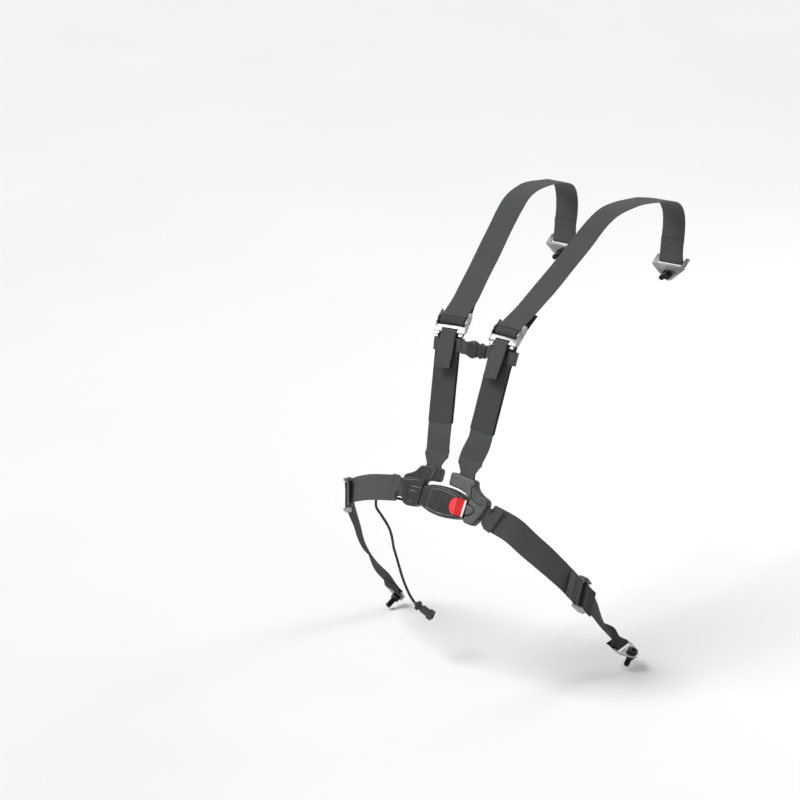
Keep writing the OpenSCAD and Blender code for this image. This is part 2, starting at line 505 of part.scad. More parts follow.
module lap_nut_right() color(black) anchor_place(anchor_right) translate([0, 0, 3.1]) hex_nut(nut_h - 0.1);

buckle_front_cover();
buckle_rear_cover();
buckle_frame();
release_button();
latch_pawl();
ejector();
buckle_springs();
buckle_switch();
cover_screws();
left_link_front_cover();
left_link_rear_cover();
lead_gland();
lead_cable();
connector_boot();
connector_body();
tongue_plate();
right_link_front_cover();
right_link_rear_cover();
right_link_screws();
shoulder_webbing(-1);  // shoulder_webbing_left
adjuster_frame(-1);  // adjuster_frame_left
adjuster_bar(-1);  // adjuster_bar_left
backing_flap(-1);  // backing_flap_left
sleeve(-1);  // sleeve_left
lower_webbing(-1);  // lower_webbing_left
pull_tab(-1);  // pull_tab_left
shoulder_bracket(-1);  // shoulder_bracket_left
shoulder_bolt(-1);  // shoulder_bolt_left
shoulder_nut(-1);  // shoulder_nut_left
shoulder_webbing(1);  // shoulder_webbing_right
adjuster_frame(1);  // adjuster_frame_right
adjuster_bar(1);  // adjuster_bar_right
backing_flap(1);  // backing_flap_right
sleeve(1);  // sleeve_right
lower_webbing(1);  // lower_webbing_right
pull_tab(1);  // pull_tab_right
shoulder_bracket(1);  // shoulder_bracket_right
shoulder_bolt(1);  // shoulder_bolt_right
shoulder_nut(1);  // shoulder_nut_right
sternum_keeper(-1);  // sternum_keeper_left
sternum_socket();
sternum_keeper(1);  // sternum_keeper_right
sternum_plug();
lap_inner_webbing_left();
lap_adjuster_left();
lap_bar_left();
lap_outer_webbing_left();
lap_anchor_left();
lap_bolt_left();
lap_nut_left();
lap_inner_webbing_right();
lap_adjuster_right();
lap_bar_right();
lap_outer_webbing_right();
lap_anchor_right();
lap_bolt_right();
lap_nut_right();
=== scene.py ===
"""Racing harness: webbing, stitching, moulded covers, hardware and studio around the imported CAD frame.

Lengths are millimetres in the design's own frames until a mesh is made, which is in metres.
"""
import json
import math

import bmesh
import bpy
import numpy as np
from mathutils import Matrix, Vector, geometry, noise

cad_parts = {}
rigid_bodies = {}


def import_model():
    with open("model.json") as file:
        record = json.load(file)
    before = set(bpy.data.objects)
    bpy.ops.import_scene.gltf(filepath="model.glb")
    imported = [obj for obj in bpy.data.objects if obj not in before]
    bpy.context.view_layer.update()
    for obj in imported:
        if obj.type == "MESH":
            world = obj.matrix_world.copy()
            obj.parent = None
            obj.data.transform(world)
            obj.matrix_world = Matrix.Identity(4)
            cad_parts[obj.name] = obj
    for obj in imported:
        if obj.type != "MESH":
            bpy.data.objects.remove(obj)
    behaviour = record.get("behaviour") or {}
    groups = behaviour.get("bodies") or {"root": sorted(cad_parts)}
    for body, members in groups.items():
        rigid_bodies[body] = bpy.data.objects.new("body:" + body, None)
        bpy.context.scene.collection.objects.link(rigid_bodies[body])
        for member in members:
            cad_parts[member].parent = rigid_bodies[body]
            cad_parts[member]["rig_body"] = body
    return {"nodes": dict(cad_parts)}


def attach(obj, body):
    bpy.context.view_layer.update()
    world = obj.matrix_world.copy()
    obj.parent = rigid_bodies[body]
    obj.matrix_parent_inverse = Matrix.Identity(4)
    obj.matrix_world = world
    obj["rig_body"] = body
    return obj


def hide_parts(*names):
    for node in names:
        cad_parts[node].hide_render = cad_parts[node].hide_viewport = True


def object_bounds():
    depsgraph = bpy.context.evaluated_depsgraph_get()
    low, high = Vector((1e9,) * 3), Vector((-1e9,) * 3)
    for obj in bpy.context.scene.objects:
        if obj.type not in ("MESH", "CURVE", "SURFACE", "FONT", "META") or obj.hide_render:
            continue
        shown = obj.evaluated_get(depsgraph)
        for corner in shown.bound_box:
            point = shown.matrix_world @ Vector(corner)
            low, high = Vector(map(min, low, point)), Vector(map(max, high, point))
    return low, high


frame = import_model()
cad_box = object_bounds()
NODES = frame["nodes"]
MM = 0.001


def placed(name, data):
    """A new object, linked to the scene."""
    obj = bpy.data.objects.new(name, data)
    bpy.context.scene.collection.objects.link(obj)
    return obj


# ---------------------------------------------------------------- camera
AZIMUTH, ELEVATION = math.radians(33), math.radians(20.5)
CAMERA_DISTANCE = 6.0
AIM_RIGHT, AIM_UP = -0.419, -0.268  # from the object's origin, in the camera's plane

right = Vector((math.cos(AZIMUTH), math.sin(AZIMUTH), 0))
back = Vector(
    (math.sin(AZIMUTH) * math.cos(ELEVATION), -math.cos(AZIMUTH) * math.cos(ELEVATION), math.sin(ELEVATION))
)
up = back.cross(right)
camera = placed("camera", bpy.data.cameras.new("camera"))
camera.data.lens = 135
camera.data.sensor_width = 36
camera.data.clip_end = 40
turn = Matrix((right, up, back)).transposed().to_4x4()
camera.matrix_world = Matrix.Translation(AIM_RIGHT * right + AIM_UP * up + CAMERA_DISTANCE * back) @ turn
bpy.context.scene.camera = camera


# ---------------------------------------------------------------- frames of the design, in mm
def spin(about, angle):
    return Matrix.Rotation(math.radians(angle), 4, about)


def shift(x, y, z):
    return Matrix.Translation((x, y, z))


MIRROR = Matrix.Scale(-1, 4, (1, 0, 0))
BUCKLE = shift(0, -610, -297) @ spin("X", 65)
CASE = BUCKLE @ shift(0, -2.6, 0) @ spin("Z", -4.5)
ADJUSTER = shift(60, -492, 14) @ spin("Z", -7) @ spin("X", 42)
SLEEVE = shift(60, -509, -10) @ spin("X", 72) @ spin("Z", -5)
HIP = {
    "left": shift(-266, -545, -366) @ spin("Z", -56.6) @ spin("X", 90) @ spin("Z", 125.4),
    "right": shift(243, -518, -463) @ spin("Z", 94) @ spin("X", 80) @ spin("Z", -135),
}
ANCHOR = {
    "left": shift(-263, -372, -644) @ spin("X", 123) @ spin("Y", -15),
    "right": shift(279, -378, -630) @ spin("Z", -90) @ spin("X", 158),
}
ANCHOR_X, BRACKET_Y = 122, 19
LEAD = [
    (-97, -602, -320), (-111, -602, -320), (-126, -602, -320), (-141, -601, -321), (-155, -598, -325),
    (-165, -595, -331), (-170, -592, -342), (-170, -590, -356), (-162, -588, -368), (-153, -586, -381),
    (-145, -583, -397), (-141, -580, -416), (-140, -576, -437), (-136, -572, -458), (-132, -568, -480),
    (-127, -565, -501), (-120, -563, -520), (-111, -562, -537), (-101, -561, -550),
]
SIDES = {"left": -1, "right": 1}


def sided(mirror):
    return MIRROR if mirror else Matrix.Identity(4)


def axis(m, v):
    return (m.to_3x3() @ Vector(v)).normalized()


# ---------------------------------------------------------------- meshes
def new_object(name, mesh, material, body, *nodes):
    """An object that rides on a body and stands for the CAD nodes named."""
    obj = placed(name, mesh)
    mesh.materials.clear()
    mesh.materials.append(material)
    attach(obj, body)
    if nodes:
        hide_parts(*nodes)
    return obj


def mesh_of(name, verts, faces, place=Matrix.Identity(4), uvs=None, sharp=None):
    """A mesh from points in mm; uvs gives one (u, v) in mm per point."""
    mesh = bpy.data.meshes.new(name)
    mesh.from_pydata([(place @ Vector(v)) * MM for v in verts], [], faces)
    if uvs is not None:
        layer = mesh.uv_layers.new(name="weave")
        for loop in mesh.loops:
            u, v = uvs[loop.vertex_index]
            layer.data[loop.index].uv = (u * MM, v * MM)
    work = bmesh.new()
    work.from_mesh(mesh)
    bmesh.ops.recalc_face_normals(work, faces=work.faces)
    work.to_mesh(mesh)
    work.free()
    mesh.shade_smooth()
    if sharp:
        mesh.set_sharp_from_angle(angle=math.radians(sharp))
    return mesh


def joined(parts):
    """One (verts, faces) out of several."""
    verts, faces = [], []
    for v, f in parts:
        base = len(verts)
        verts += v
        faces += [[base + i for i in face] for face in f]
    return verts, faces


def skin(rings, n, base=0):
    """Quads from each ring of n points to the next one; the first ring starts at base."""
    faces = []
    for i in range(rings - 1):
        a, b = base + i * n, base + (i + 1) * n
        faces += [[a + k, a + (k + 1) % n, b + (k + 1) % n, b + k] for k in range(n)]
    return faces


def end_caps(rings, n):
    return [list(range(n))[::-1], list(range((rings - 1) * n, rings * n))]


def apply_modifiers(obj):
    graph = bpy.context.evaluated_depsgraph_get()
    mesh = bpy.data.meshes.new_from_object(obj.evaluated_get(graph))
    obj.modifiers.clear()
    obj.data = mesh


def refined(node, material, bevel=0.5, segments=3, name=None):
    """A CAD node's own shape with its edges rounded."""
    source = NODES[node]
    obj = source.copy()
    obj.data = source.data.copy()
    stem, _, word = node.rpartition("_")
    obj.name = name or (f"{stem}_finished_{word}" if word in SIDES else node + "_finished")
    for key in list(obj.keys()):
        del obj[key]
    obj.parent = None
    obj.hide_render = False
    bpy.context.scene.collection.objects.link(obj)
    work = bmesh.new()
    work.from_mesh(obj.data)
    # joins the corners that the export split, and drops the edges inside flat faces
    bmesh.ops.remove_doubles(work, verts=work.verts, dist=2e-6)
    bmesh.ops.dissolve_limit(
        work, angle_limit=math.radians(1.5), verts=work.verts, edges=work.edges, delimit={"NORMAL"}
    )
    work.to_mesh(obj.data)
    work.free()
    rounding = obj.modifiers.new("rounding", "BEVEL")
    rounding.width = bevel * MM
    rounding.segments = segments
    rounding.limit_method = "ANGLE"
    rounding.angle_limit = math.radians(32)
    rounding.use_clamp_overlap = True
    apply_modifiers(obj)
    obj.data.materials.clear()
    obj.data.materials.append(material)
    obj.data.shade_smooth()
    obj.data.set_sharp_from_angle(angle=math.radians(38))
    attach(obj, source["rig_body"])
    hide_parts(node)
    return obj


# ---------------------------------------------------------------- materials
class Nodes:
    """Short names for building a node tree."""

    def __init__(self, name, slot, colour, roughness, metallic=0.0):
        self.material = bpy.data.materials.new(name)
        self.material.use_nodes = True
        self.material.diffuse_color = (*colour, 1)
        self.tree = self.material.node_tree
        self.shader = self.tree.nodes["Principled BSDF"]
        self.set(self.shader, Metallic=metallic, Roughness=roughness)
        self.shader.inputs["Base Color"].default_value = (*colour, 1)

    def set(self, node, **values):
        for key, value in values.items():
            node.inputs[key.replace("_", " ")].default_value = value

    def add(self, kind, **settings):
        node = self.tree.nodes.new("ShaderNode" + kind)
        for key, value in settings.items():
            setattr(node, key, value)
        return node

    def link(self, out, into):
        self.tree.links.new(out, into)

    def maths(self, operation, *values):
        node = self.add("Math", operation=operation)
        for value, socket in zip(values, node.inputs):
            if isinstance(value, (int, float)):
                socket.default_value = value
            else:
                self.link(value, socket)
        return node.outputs[0]

    def plus(self, a, b):
        return self.maths("ADD", a, b)

    def times(self, a, b):
        return self.maths("MULTIPLY", a, b)

    def noise(self, scale, detail, stretch=None):
        node = self.add("TexNoise")
        self.set(node, Scale=scale, Detail=detail)
        source = self.add("TexCoord").outputs["Object"]
        if stretch:
            mapping = self.add("Mapping")
            mapping.inputs["Scale"].default_value = stretch
            self.link(source, mapping.inputs["Vector"])
            source = mapping.outputs[0]
        self.link(source, node.inputs["Vector"])
        return node.outputs["Fac"]

    def ramp(self, value, *stops):
        node = self.add("ValToRGB")
        elements = node.color_ramp.elements
        while len(elements) < len(stops):
            elements.new(0.5)
        for element, (at, colour) in zip(elements, stops):
            element.position = at
            element.color = (*colour, 1)
        self.link(value, node.inputs["Fac"])
        return node.outputs["Color"]

    def colour(self, out):
        self.link(out, self.shader.inputs["Base Color"])

    def roughness(self, value, low, high):
        node = self.add("MapRange")
        self.set(node, To_Min=low, To_Max=high)
        self.link(value, node.inputs["Value"])
        self.link(node.outputs[0], self.shader.inputs["Roughness"])

    def bump(self, *layers):
        """layers: (height, strength, distance in metres), the last one on top."""
        normal = None
        for height, strength, distance in layers:
            node = self.add("Bump")
            self.set(node, Strength=strength, Distance=distance)
            self.link(height, node.inputs["Height"])
            if normal:
                self.link(normal, node.inputs["Normal"])
            normal = node.outputs["Normal"]
        self.link(normal, self.shader.inputs["Normal"])


def blend_of(colour, low, high):
    return tuple(c * low for c in colour), tuple(c * high for c in colour)


def woven(name, colour, rib=1.9, pick=1.3, sheen=0.12):
    """Webbing: ribs along the length crossed by picks, from the strip's own weave coordinates."""
    m = Nodes(name, "webbing", colour, 0.72)
    uv = m.add("UVMap", uv_map="weave").outputs[0]
    split = m.add("SeparateXYZ")
    m.link(uv, split.inputs[0])
    u, v = split.outputs[0], split.outputs[1]
    row = m.times(u, 1 / (rib * MM))
    chevron = m.maths("PINGPONG", row, 1.0)
    along = m.plus(m.times(v, 1 / (pick * MM)), m.times(chevron, 0.9))
    thread = m.maths("SINE", m.times(along, 2 * math.pi))
    ridges = m.maths("ABSOLUTE", m.maths("SINE", m.times(row, math.pi)))
    weave = m.plus(m.times(thread, 0.5), m.times(ridges, 0.9))
    fuzz, cloud = m.noise(900, 2), m.noise(14, 4)
    low, high = blend_of(colour, 0.78, 1.16)
    mixed = m.plus(m.times(weave, 0.3), m.plus(m.times(cloud, 0.7), m.times(fuzz, 0.25)))
    m.colour(m.ramp(mixed, (0.15, low), (1.0, high)))
    m.roughness(fuzz, 0.62, 0.86)
    m.bump((weave, 0.55, 0.0003), (fuzz, 0.25, 0.0002))
    m.set(m.shader, Sheen_Weight=sheen, Sheen_Roughness=0.5, Specular_IOR_Level=0.3)
    m.shader.inputs["Sheen Tint"].default_value = (0.8, 0.84, 0.8, 1)
    return m.material


def thread_material(name, colour):
    m = Nodes(name, "webbing", colour, 0.55)
    twist = m.noise(1600, 2)
    low, high = blend_of(colour, 0.7, 1.25)
    m.colour(m.ramp(twist, (0.3, low), (0.7, high)))
    m.bump((twist, 0.4, 0.0002))
    m.set(m.shader, Sheen_Weight=0.25)
    return m.material


def moulded_plastic(name, slot, colour, roughness=0.42, grain=0.3, coat=0.0):
    m = Nodes(name, slot, colour, roughness)
    fine, cloud = m.noise(2600, 2), m.noise(55, 5)
    low, high = blend_of(colour, 0.86, 1.1)
    m.colour(m.ramp(cloud, (0.3, low), (0.7, high)))
    m.roughness(cloud, roughness - 0.07, roughness + 0.1)
    m.bump((cloud, 0.12, 0.0003), (fine, grain, 0.00008))
    m.set(m.shader, Coat_Weight=coat, Coat_Roughness=0.2)
    return m.material


def plated_steel(name, slot, colour, roughness):
    m = Nodes(name, slot, colour, roughness, metallic=1.0)
    brushed, cloud = m.noise(500, 4, stretch=(1, 12, 1)), m.noise(70, 4)
    low, high = blend_of(colour, 0.62, 1.1)
    m.colour(m.ramp(cloud, (0.35, low), (0.65, high)))
    m.roughness(brushed, roughness - 0.08, roughness + 0.14)
    m.bump((cloud, 0.15, 0.0003), (brushed, 0.12, 0.0001))
    return m.material


WEBBING = woven("webbing_weave", (0.058, 0.064, 0.057))
# the outer lap belts get a near-black copy of the webbing colour: painted shade for belts turned away from
# the light
WEBBING_PAINTED_SHADE = woven("outer_webbing_painted_shade", (0.017, 0.018, 0.017), sheen=0.04)
WEBBING_DARK = woven("sleeve_weave", (0.044, 0.048, 0.043), rib=1.2, pick=0.9)
# near-black webbing for strips that stand in for shade and shadow: painted shade
PAINTED_SHADE_STRIP = woven("painted_shade_strip", (0.005, 0.0055, 0.005), rib=1.0, pick=0.8, sheen=0.0)
THREAD = thread_material("stitching_thread", (0.03, 0.033, 0.03))
CASE_PLASTIC = moulded_plastic("case_plastic", "dark_plastic", (0.026, 0.029, 0.028), 0.4)
# lighter grey for slim lines along edges: painted highlights
HIGHLIGHT_PLASTIC = moulded_plastic("painted_highlight_edge", "grey_plastic", (0.16, 0.168, 0.162), 0.34)
LINK_PLASTIC = moulded_plastic("link_plastic", "grey_plastic", (0.095, 0.1, 0.096), 0.44)
RED_PLASTIC = moulded_plastic("button_plastic", "red_plastic", (0.72, 0.012, 0.014), 0.33, 0.15, 0.25)
# the button's left slope in a lighter red and its ridge in a pale red: painted light and a painted highlight
RED_LIT_FACET = moulded_plastic("button_facet_painted_light", "red_plastic", (0.9, 0.05, 0.065), 0.3, 0.15, 0.3)
RED_HIGHLIGHT = moulded_plastic("button_ridge_painted_highlight", "red_plastic", (0.95, 0.22, 0.2), 0.25, 0.1, 0.4)
WHITE_PLASTIC = moulded_plastic("button_marking", "red_plastic", (0.82, 0.82, 0.8), 0.4, 0.1)
BLACK_PLASTIC = moulded_plastic("clip_plastic", "black_plastic", (0.026, 0.028, 0.026), 0.38)
RUBBER = moulded_plastic("lead_rubber", "black_rubber", (0.012, 0.012, 0.012), 0.5, 0.5)
BRIGHT = plated_steel("bright_plating", "bright_steel", (0.4, 0.405, 0.41), 0.4)
BLACK_STEEL = plated_steel("black_plating", "black_steel", (0.035, 0.035, 0.037), 0.36)


# ---------------------------------------------------------------- the lead comes first
def spline(a, b, c, d, t):
    return 0.5 * (2 * b + (c - a) * t + (2 * a - 5 * b + 4 * c - d) * t**2 + (3 * b - a - 3 * c + d) * t**3)


def smooth(stations, n):
    """A smooth curve through the stations, n steps to a span."""
    s = [np.array(x, float) for x in stations]
    last = len(s) - 1
    out = []
    for i in range(last):
        for k in range(n):
            out.append(spline(s[max(i - 1, 0)], s[i], s[i + 1], s[min(i + 2, last)], k / n))
    return out + [s[last]]


LEAD_DIAMETER = 5.2
lead_path = smooth(LEAD, 8)
lead_curve = bpy.data.curves.new("lead", "CURVE")
lead_curve.dimensions = "3D"
lead_spline = lead_curve.splines.new("POLY")
lead_spline.points.add(len(lead_path) - 1)
for point, p in zip(lead_spline.points, lead_path):
    point.co = (*(p * MM), 1)
lead_curve.bevel_depth = LEAD_DIAMETER / 2 * MM
lead_curve.bevel_resolution = 6
lead_curve.use_fill_caps = True
lead_spline.use_smooth = True
lead = placed("lead", lead_curve)
lead_curve.materials.append(RUBBER)
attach(lead, "left_half")
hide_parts("lead_cable")
connector_boot = refined("connector_boot", RUBBER, 0.7)
connector_body = refined("connector_body", BLACK_PLASTIC, 0.6)


# ---------------------------------------------------------------- webbing
BELT_W, BELT_T, STRAP_W = 50, 1.6, 25
FOLD_R, BAR_FOLD_R, LAYER = 4.2, 5, 1.15
FOLD_STATIONS = 10
FOLD_REACH = 3.4  # bar radii from the bar to where a fold's two layers lie flat
FLARE, LAP_FLARE = 31, 21  # how far from a narrow slot the webbing has its full width again


def st(p, w, b):
    return (*p, *w, b)


def fold(c, t, w, b, r, tail):
    """Webbing that comes along t to a bar at c, goes round it and back beside itself."""
    c, t, w = Vector(c), Vector(t), Vector(w)
    n = w.cross(t)
    turns = [math.radians(a) for a in (70, 105, 140, 180, 220, 255, 290)]
    return (
        [st(c + FOLD_REACH * r * t + LAYER * n, w, b)]
        + [st(c + r * math.cos(a) * t + r * math.sin(a) * n, w, b) for a in turns]
        + [st(c + FOLD_REACH * r * t - LAYER * n, w, b), st(c + tail * t - LAYER * n, w, b)]
    )


def wide_tail(c, t, w, flare):
    """The sewn end beside the belt, spread to full width again behind a narrow slot."""
    c, t, w = Vector(c), Vector(t), Vector(w)
    return [st(c + d * t - LAYER * w.cross(t), w, BELT_W) for d in (flare + 1, flare + 16)]


class Belt:
    """A strip of webbing along its stations, with a surface that stitches can be put on."""

    def __init__(self, stations, steps=8, mirror=False, ripple=0.35):
        self.steps = steps
        self.count = len(stations)
        line = smooth(stations, steps)
        points = [Vector(q[:3]) for q in line]
        self.frames = []
        length = 0.0
        last = len(line) - 1
        for i, q in enumerate(line):
            t = (points[min(i + 1, last)] - points[max(i - 1, 0)]).normalized()
            w = Vector(q[3:6])
            w = (w - t * w.dot(t)).normalized()
            if i:
                length += (points[i] - points[i - 1]).length
            k = min(i // steps, len(stations) - 2)
            b0, b1 = stations[k][6], stations[k + 1][6]
            self.frames.append((points[i], t, w, w.cross(t), b0 + (b1 - b0) * (i / steps - k), length))
        self.length = length
        self.mirror = sided(mirror)
        self.ripple = ripple

    def wave(self, u, v):
        """The webbing's own unevenness: none at the sewn ends, most along the free edges."""
        # still for 55 mm from each end, and at its full height 40 mm further on
        free = max(0.0, min(1.0, (min(v, self.length - v) - 55) / 40))
        edge = (2 * abs(u) / BELT_W) ** 2
        slow = noise.noise(Vector((u * 0.02, v * 0.011, self.length * 0.1)))
        return free * self.ripple * (slow + edge * math.sin(v / 19 + (0.8 if u > 0 else 2.9)))

    def mesh(self, name, columns=14, thickness=BELT_T):
        half = thickness / 2
        across = [-1 + 2 * k / columns for k in range(columns + 1)]
        profile = [(x, 1.0) for x in across]
        profile += [(1, 0.7), (1, 0), (1, -0.7)]
        profile += [(x, -1.0) for x in reversed(across)]
        profile += [(-1, -0.7), (-1, 0), (-1, 0.7)]
        ring = len(profile)
        verts, uvs = [], []
        for p, _, w, m, b, v in self.frames:
            for x, z in profile:  # the selvedge is rounded at the edge and a little thicker beside it
                edge = abs(x) == 1
                proud = half * (0.35 if edge and abs(z) < 0.6 else 0.22 if edge and abs(z) < 1 else 0)
                u = x * (b / 2 - half * 0.35)
                lift = half * z * (0.8 if edge and abs(z) == 1 else 1.07 if abs(x) > 0.84 else 1.0)
                verts.append(p + w * (u + math.copysign(proud, x)) + m * (lift + self.wave(u, v)))
                uvs.append((u, v))
        faces = skin(len(self.frames), ring)
        for base in (0, len(verts) - ring):
            for k in range(columns):
                other = 2 * columns + 3 - k
                faces.append([base + k, base + k + 1, base + other, base + other + 1])
            faces.append([base + columns + k for k in range(5)])
            faces.append([base + 2 * columns + 4 + k for k in range(3)] + [base + ring - 1, base])
        return mesh_of(name, verts, faces, self.mirror, uvs, sharp=60)

    def at(self, u, v, side):
        """Point, direction along, across and outward normal on the face."""
        v = max(0.0, min(self.length, v))
        lo, hi = 0, len(self.frames) - 1
        while hi - lo > 1:
            mid = (lo + hi) // 2
            if self.frames[mid][5] <= v:
                lo = mid
            else:
                hi = mid
        a, b = self.frames[lo], self.frames[hi]
        f = (v - a[5]) / max(b[5] - a[5], 1e-9)
        p, t, w, m = (a[i].lerp(b[i], f) for i in range(4))
        return p + w * u + m * (side * BELT_T / 2 + self.wave(u, v)), t, w, m * side

    def near_start(self, d, r, tail=0):
        """v of the outer layer d mm from the bar that the belt's start is folded round."""
        return self.frames[(FOLD_STATIONS + tail - 1) * self.steps][5] + d - FOLD_REACH * r

    def near_end(self, d, r, tail=0):
        return self.frames[(self.count - FOLD_STATIONS - tail) * self.steps][5] - d + FOLD_REACH * r


STITCH, PITCH, STITCH_R = 2.7, 3.6, 0.42
STITCH_PROFILE = ((-1, 0.25), (-0.75, 0.85), (0, 1.0), (0.75, 0.85), (1, 0.25))


def stitch_parts(belt, line, side):
    """Short threads along a line of (u, v) points on one face of a belt."""
    parts = []
    for (u0, v0), (u1, v1) in zip(line, line[1:]):
        n = max(1, round(math.hypot(u1 - u0, v1 - v0) / PITCH))
        for k in range(n):
            mid = (k + 0.5) / n
            p, t, w, m = belt.at(u0 + (u1 - u0) * mid, v0 + (v1 - v0) * mid, side)
            along = (w * (u1 - u0) + t * (v1 - v0)).normalized()
            sideways = along.cross(m)
            verts = []
            for s, r in STITCH_PROFILE:
                for q in range(6):
                    a = math.radians(60 * q)
                    sink = m * (0.12 - 0.3 * abs(s) ** 3)
                    verts.append(
                        p + along * (s * STITCH / 2) + sink
                        + (sideways * math.cos(a) + m * math.sin(a) * 0.8) * STITCH_R * r
                    )
            rings = len(STITCH_PROFILE)
            parts.append((verts, skin(rings, 6) + end_caps(rings, 6)))
    return parts


def box_and_cross(u, v0, v1):
    """A sewn box with a cross in it."""
    return [
        [(-u, v0), (u, v0), (u, v1), (-u, v1), (-u, v0)],
        [(-u, v0), (u, v1)],
        [(-u, v1), (u, v0)],
    ]


def rows_across(u, *at):
    return [[(-u, v), (u, v)] for v in at]


def both_faces(lines):
    return (lines, 1), (lines, -1)


def sew(name, body, belt, *jobs):
    """jobs: (lines, side). All the stitches of one belt are one piece."""
    parts = []
    for lines, side in jobs:
        for line in lines:
            parts += stitch_parts(belt, line, side)
    verts, faces = joined(parts)
    return new_object(name, mesh_of(name, verts, faces, belt.mirror), THREAD, body)


def put(m, x, y, z):
    return m @ Vector((x, y, z))


adjuster_along, adjuster_across = axis(ADJUSTER, (0, 1, 0)), axis(ADJUSTER, (1, 0, 0))
sleeve_across = axis(SLEEVE, (1, 0, 0))
buckle_up = axis(BUCKLE, (0, 1, 0))
SHOULDER_ROUTE = [
    ((122, 33, 58), 0), ((122, 38, 88), 0), ((122, 36, 118), 0), ((121, 24, 141), 0), ((119, 2, 156), 0),
    ((115, -40, 167), -0.05), ((112, -90, 176), -0.1), ((107, -140, 181), -0.12), ((101, -190, 177), -0.12),
    ((95, -235, 160), -0.12), ((88, -290, 127), -0.12), ((80, -345, 95), -0.12), ((73, -395, 67), -0.12),
    ((66, -440, 43), -0.12),
]
BRACKET_BAR = (ANCHOR_X, BRACKET_Y + 12.4, 23.45)
BASE_BAR = (0, -14.25, -7)
SHOULDER_TAIL = 45  # length of the sewn end at the shoulder bracket


def shoulder_stations():
    start = fold(BRACKET_BAR, (0, 0, 1), (1, 0, 0), BELT_W, FOLD_R, SHOULDER_TAIL)[::-1]
    end = fold(ADJUSTER.translation, adjuster_along, adjuster_across, BELT_W, BAR_FOLD_R, 19)
    return start + [st(p, (1, lean, 0), BELT_W) for p, lean in SHOULDER_ROUTE] + end


def lower_stations(slot_x, slot_y):
    loop = put(ADJUSTER, *BASE_BAR)
    out = (put(SLEEVE, 0, -12, 0) - loop).normalized()
    start = fold(loop, out, adjuster_across, BELT_W, 3.9, 17)[::-1]
    bar, x = put(BUCKLE, slot_x, slot_y, 0), Vector((1, 0, 0))
    end = fold(bar, buckle_up, x, 31.5, FOLD_R, 20) + wide_tail(bar, buckle_up, x, FLARE)
    inside = [st(put(SLEEVE, 0, y, 0), sleeve_across, BELT_W) for y in (-18, -32, -70, -120, -160)]
    below = [
        st(put(SLEEVE, 0, -185, 0.6), (1, -0.02, -0.08), BELT_W),
        st(put(BUCKLE, slot_x, 90, 0), (1, 0, -0.03), BELT_W),
        st(bar + FLARE * buckle_up + LAYER * x.cross(buckle_up), x, BELT_W),
    ]
    return start + inside + below + end


def flap_stations():
    upper = [(3, 58, -17.5), (1, 30, -15), (0, 2, -13.2), (0, -14, -13.2)]
    return [st(put(ADJUSTER, *p), adjuster_across, BELT_W) for p in upper] + [
        st(put(SLEEVE, 0, y, -4.4), sleeve_across, BELT_W) for y in (-12, -40, -70)
    ]


TAB_W, TAB_LEN = 30, 70
TAB_AT = put(ADJUSTER, 0, -23, 1.5)
TAB_DOWN = Vector((-6, -38, -66)).normalized()


def tab_stations():
    c, down, w = TAB_AT, TAB_DOWN, adjuster_across
    out = axis(ADJUSTER, (0, -math.cos(math.radians(11)), -math.sin(math.radians(11))))
    n = w.cross(down)
    return (
        [st(c + d * down + LAYER * n, w, TAB_W) for d in (TAB_LEN, 36)]
        + fold(c, out, w, TAB_W, 4.2, 17)
        + [st(c + d * down - LAYER * n, w, TAB_W) for d in (36, TAB_LEN)]
    )


def tab_shadow_stations(aside):
    """A dark strip of painted shadow behind the tab, set to one side so that it shows beside the tab's edge.
    """
    w = adjuster_across
    back_of = TAB_AT + aside * w + (LAYER + 2.0) * w.cross(TAB_DOWN)
    return [st(back_of + d * TAB_DOWN, w, TAB_W - 3) for d in (7, 30, 50, TAB_LEN)]


ROLL_R, ROLL_HALF = 8.6, 24.6


def bar_roll():
    """Webbing wrapped round the adjuster's bar, flat on its back, with rounded ends."""
    verts, uvs = [], []
    arc = [math.radians(-42 + 264 * k / 26) for k in range(27)]  # the rest of the turn is the flat back
    rounded = [(-1, 0.9), (-0.985, 0.97), (-0.95, 1)]
    rows = rounded + [(k / 10, 1) for k in range(-9, 10)] + [(-x, r) for x, r in reversed(rounded)]
    for x, r in rows:
        for a in arc:
            verts.append((x * ROLL_HALF, ROLL_R * r * math.cos(a), ROLL_R * r * math.sin(a)))
            uvs.append((x * ROLL_HALF, ROLL_R * a))
    return verts, uvs, skin(len(rows), len(arc)) + end_caps(len(rows), len(arc))


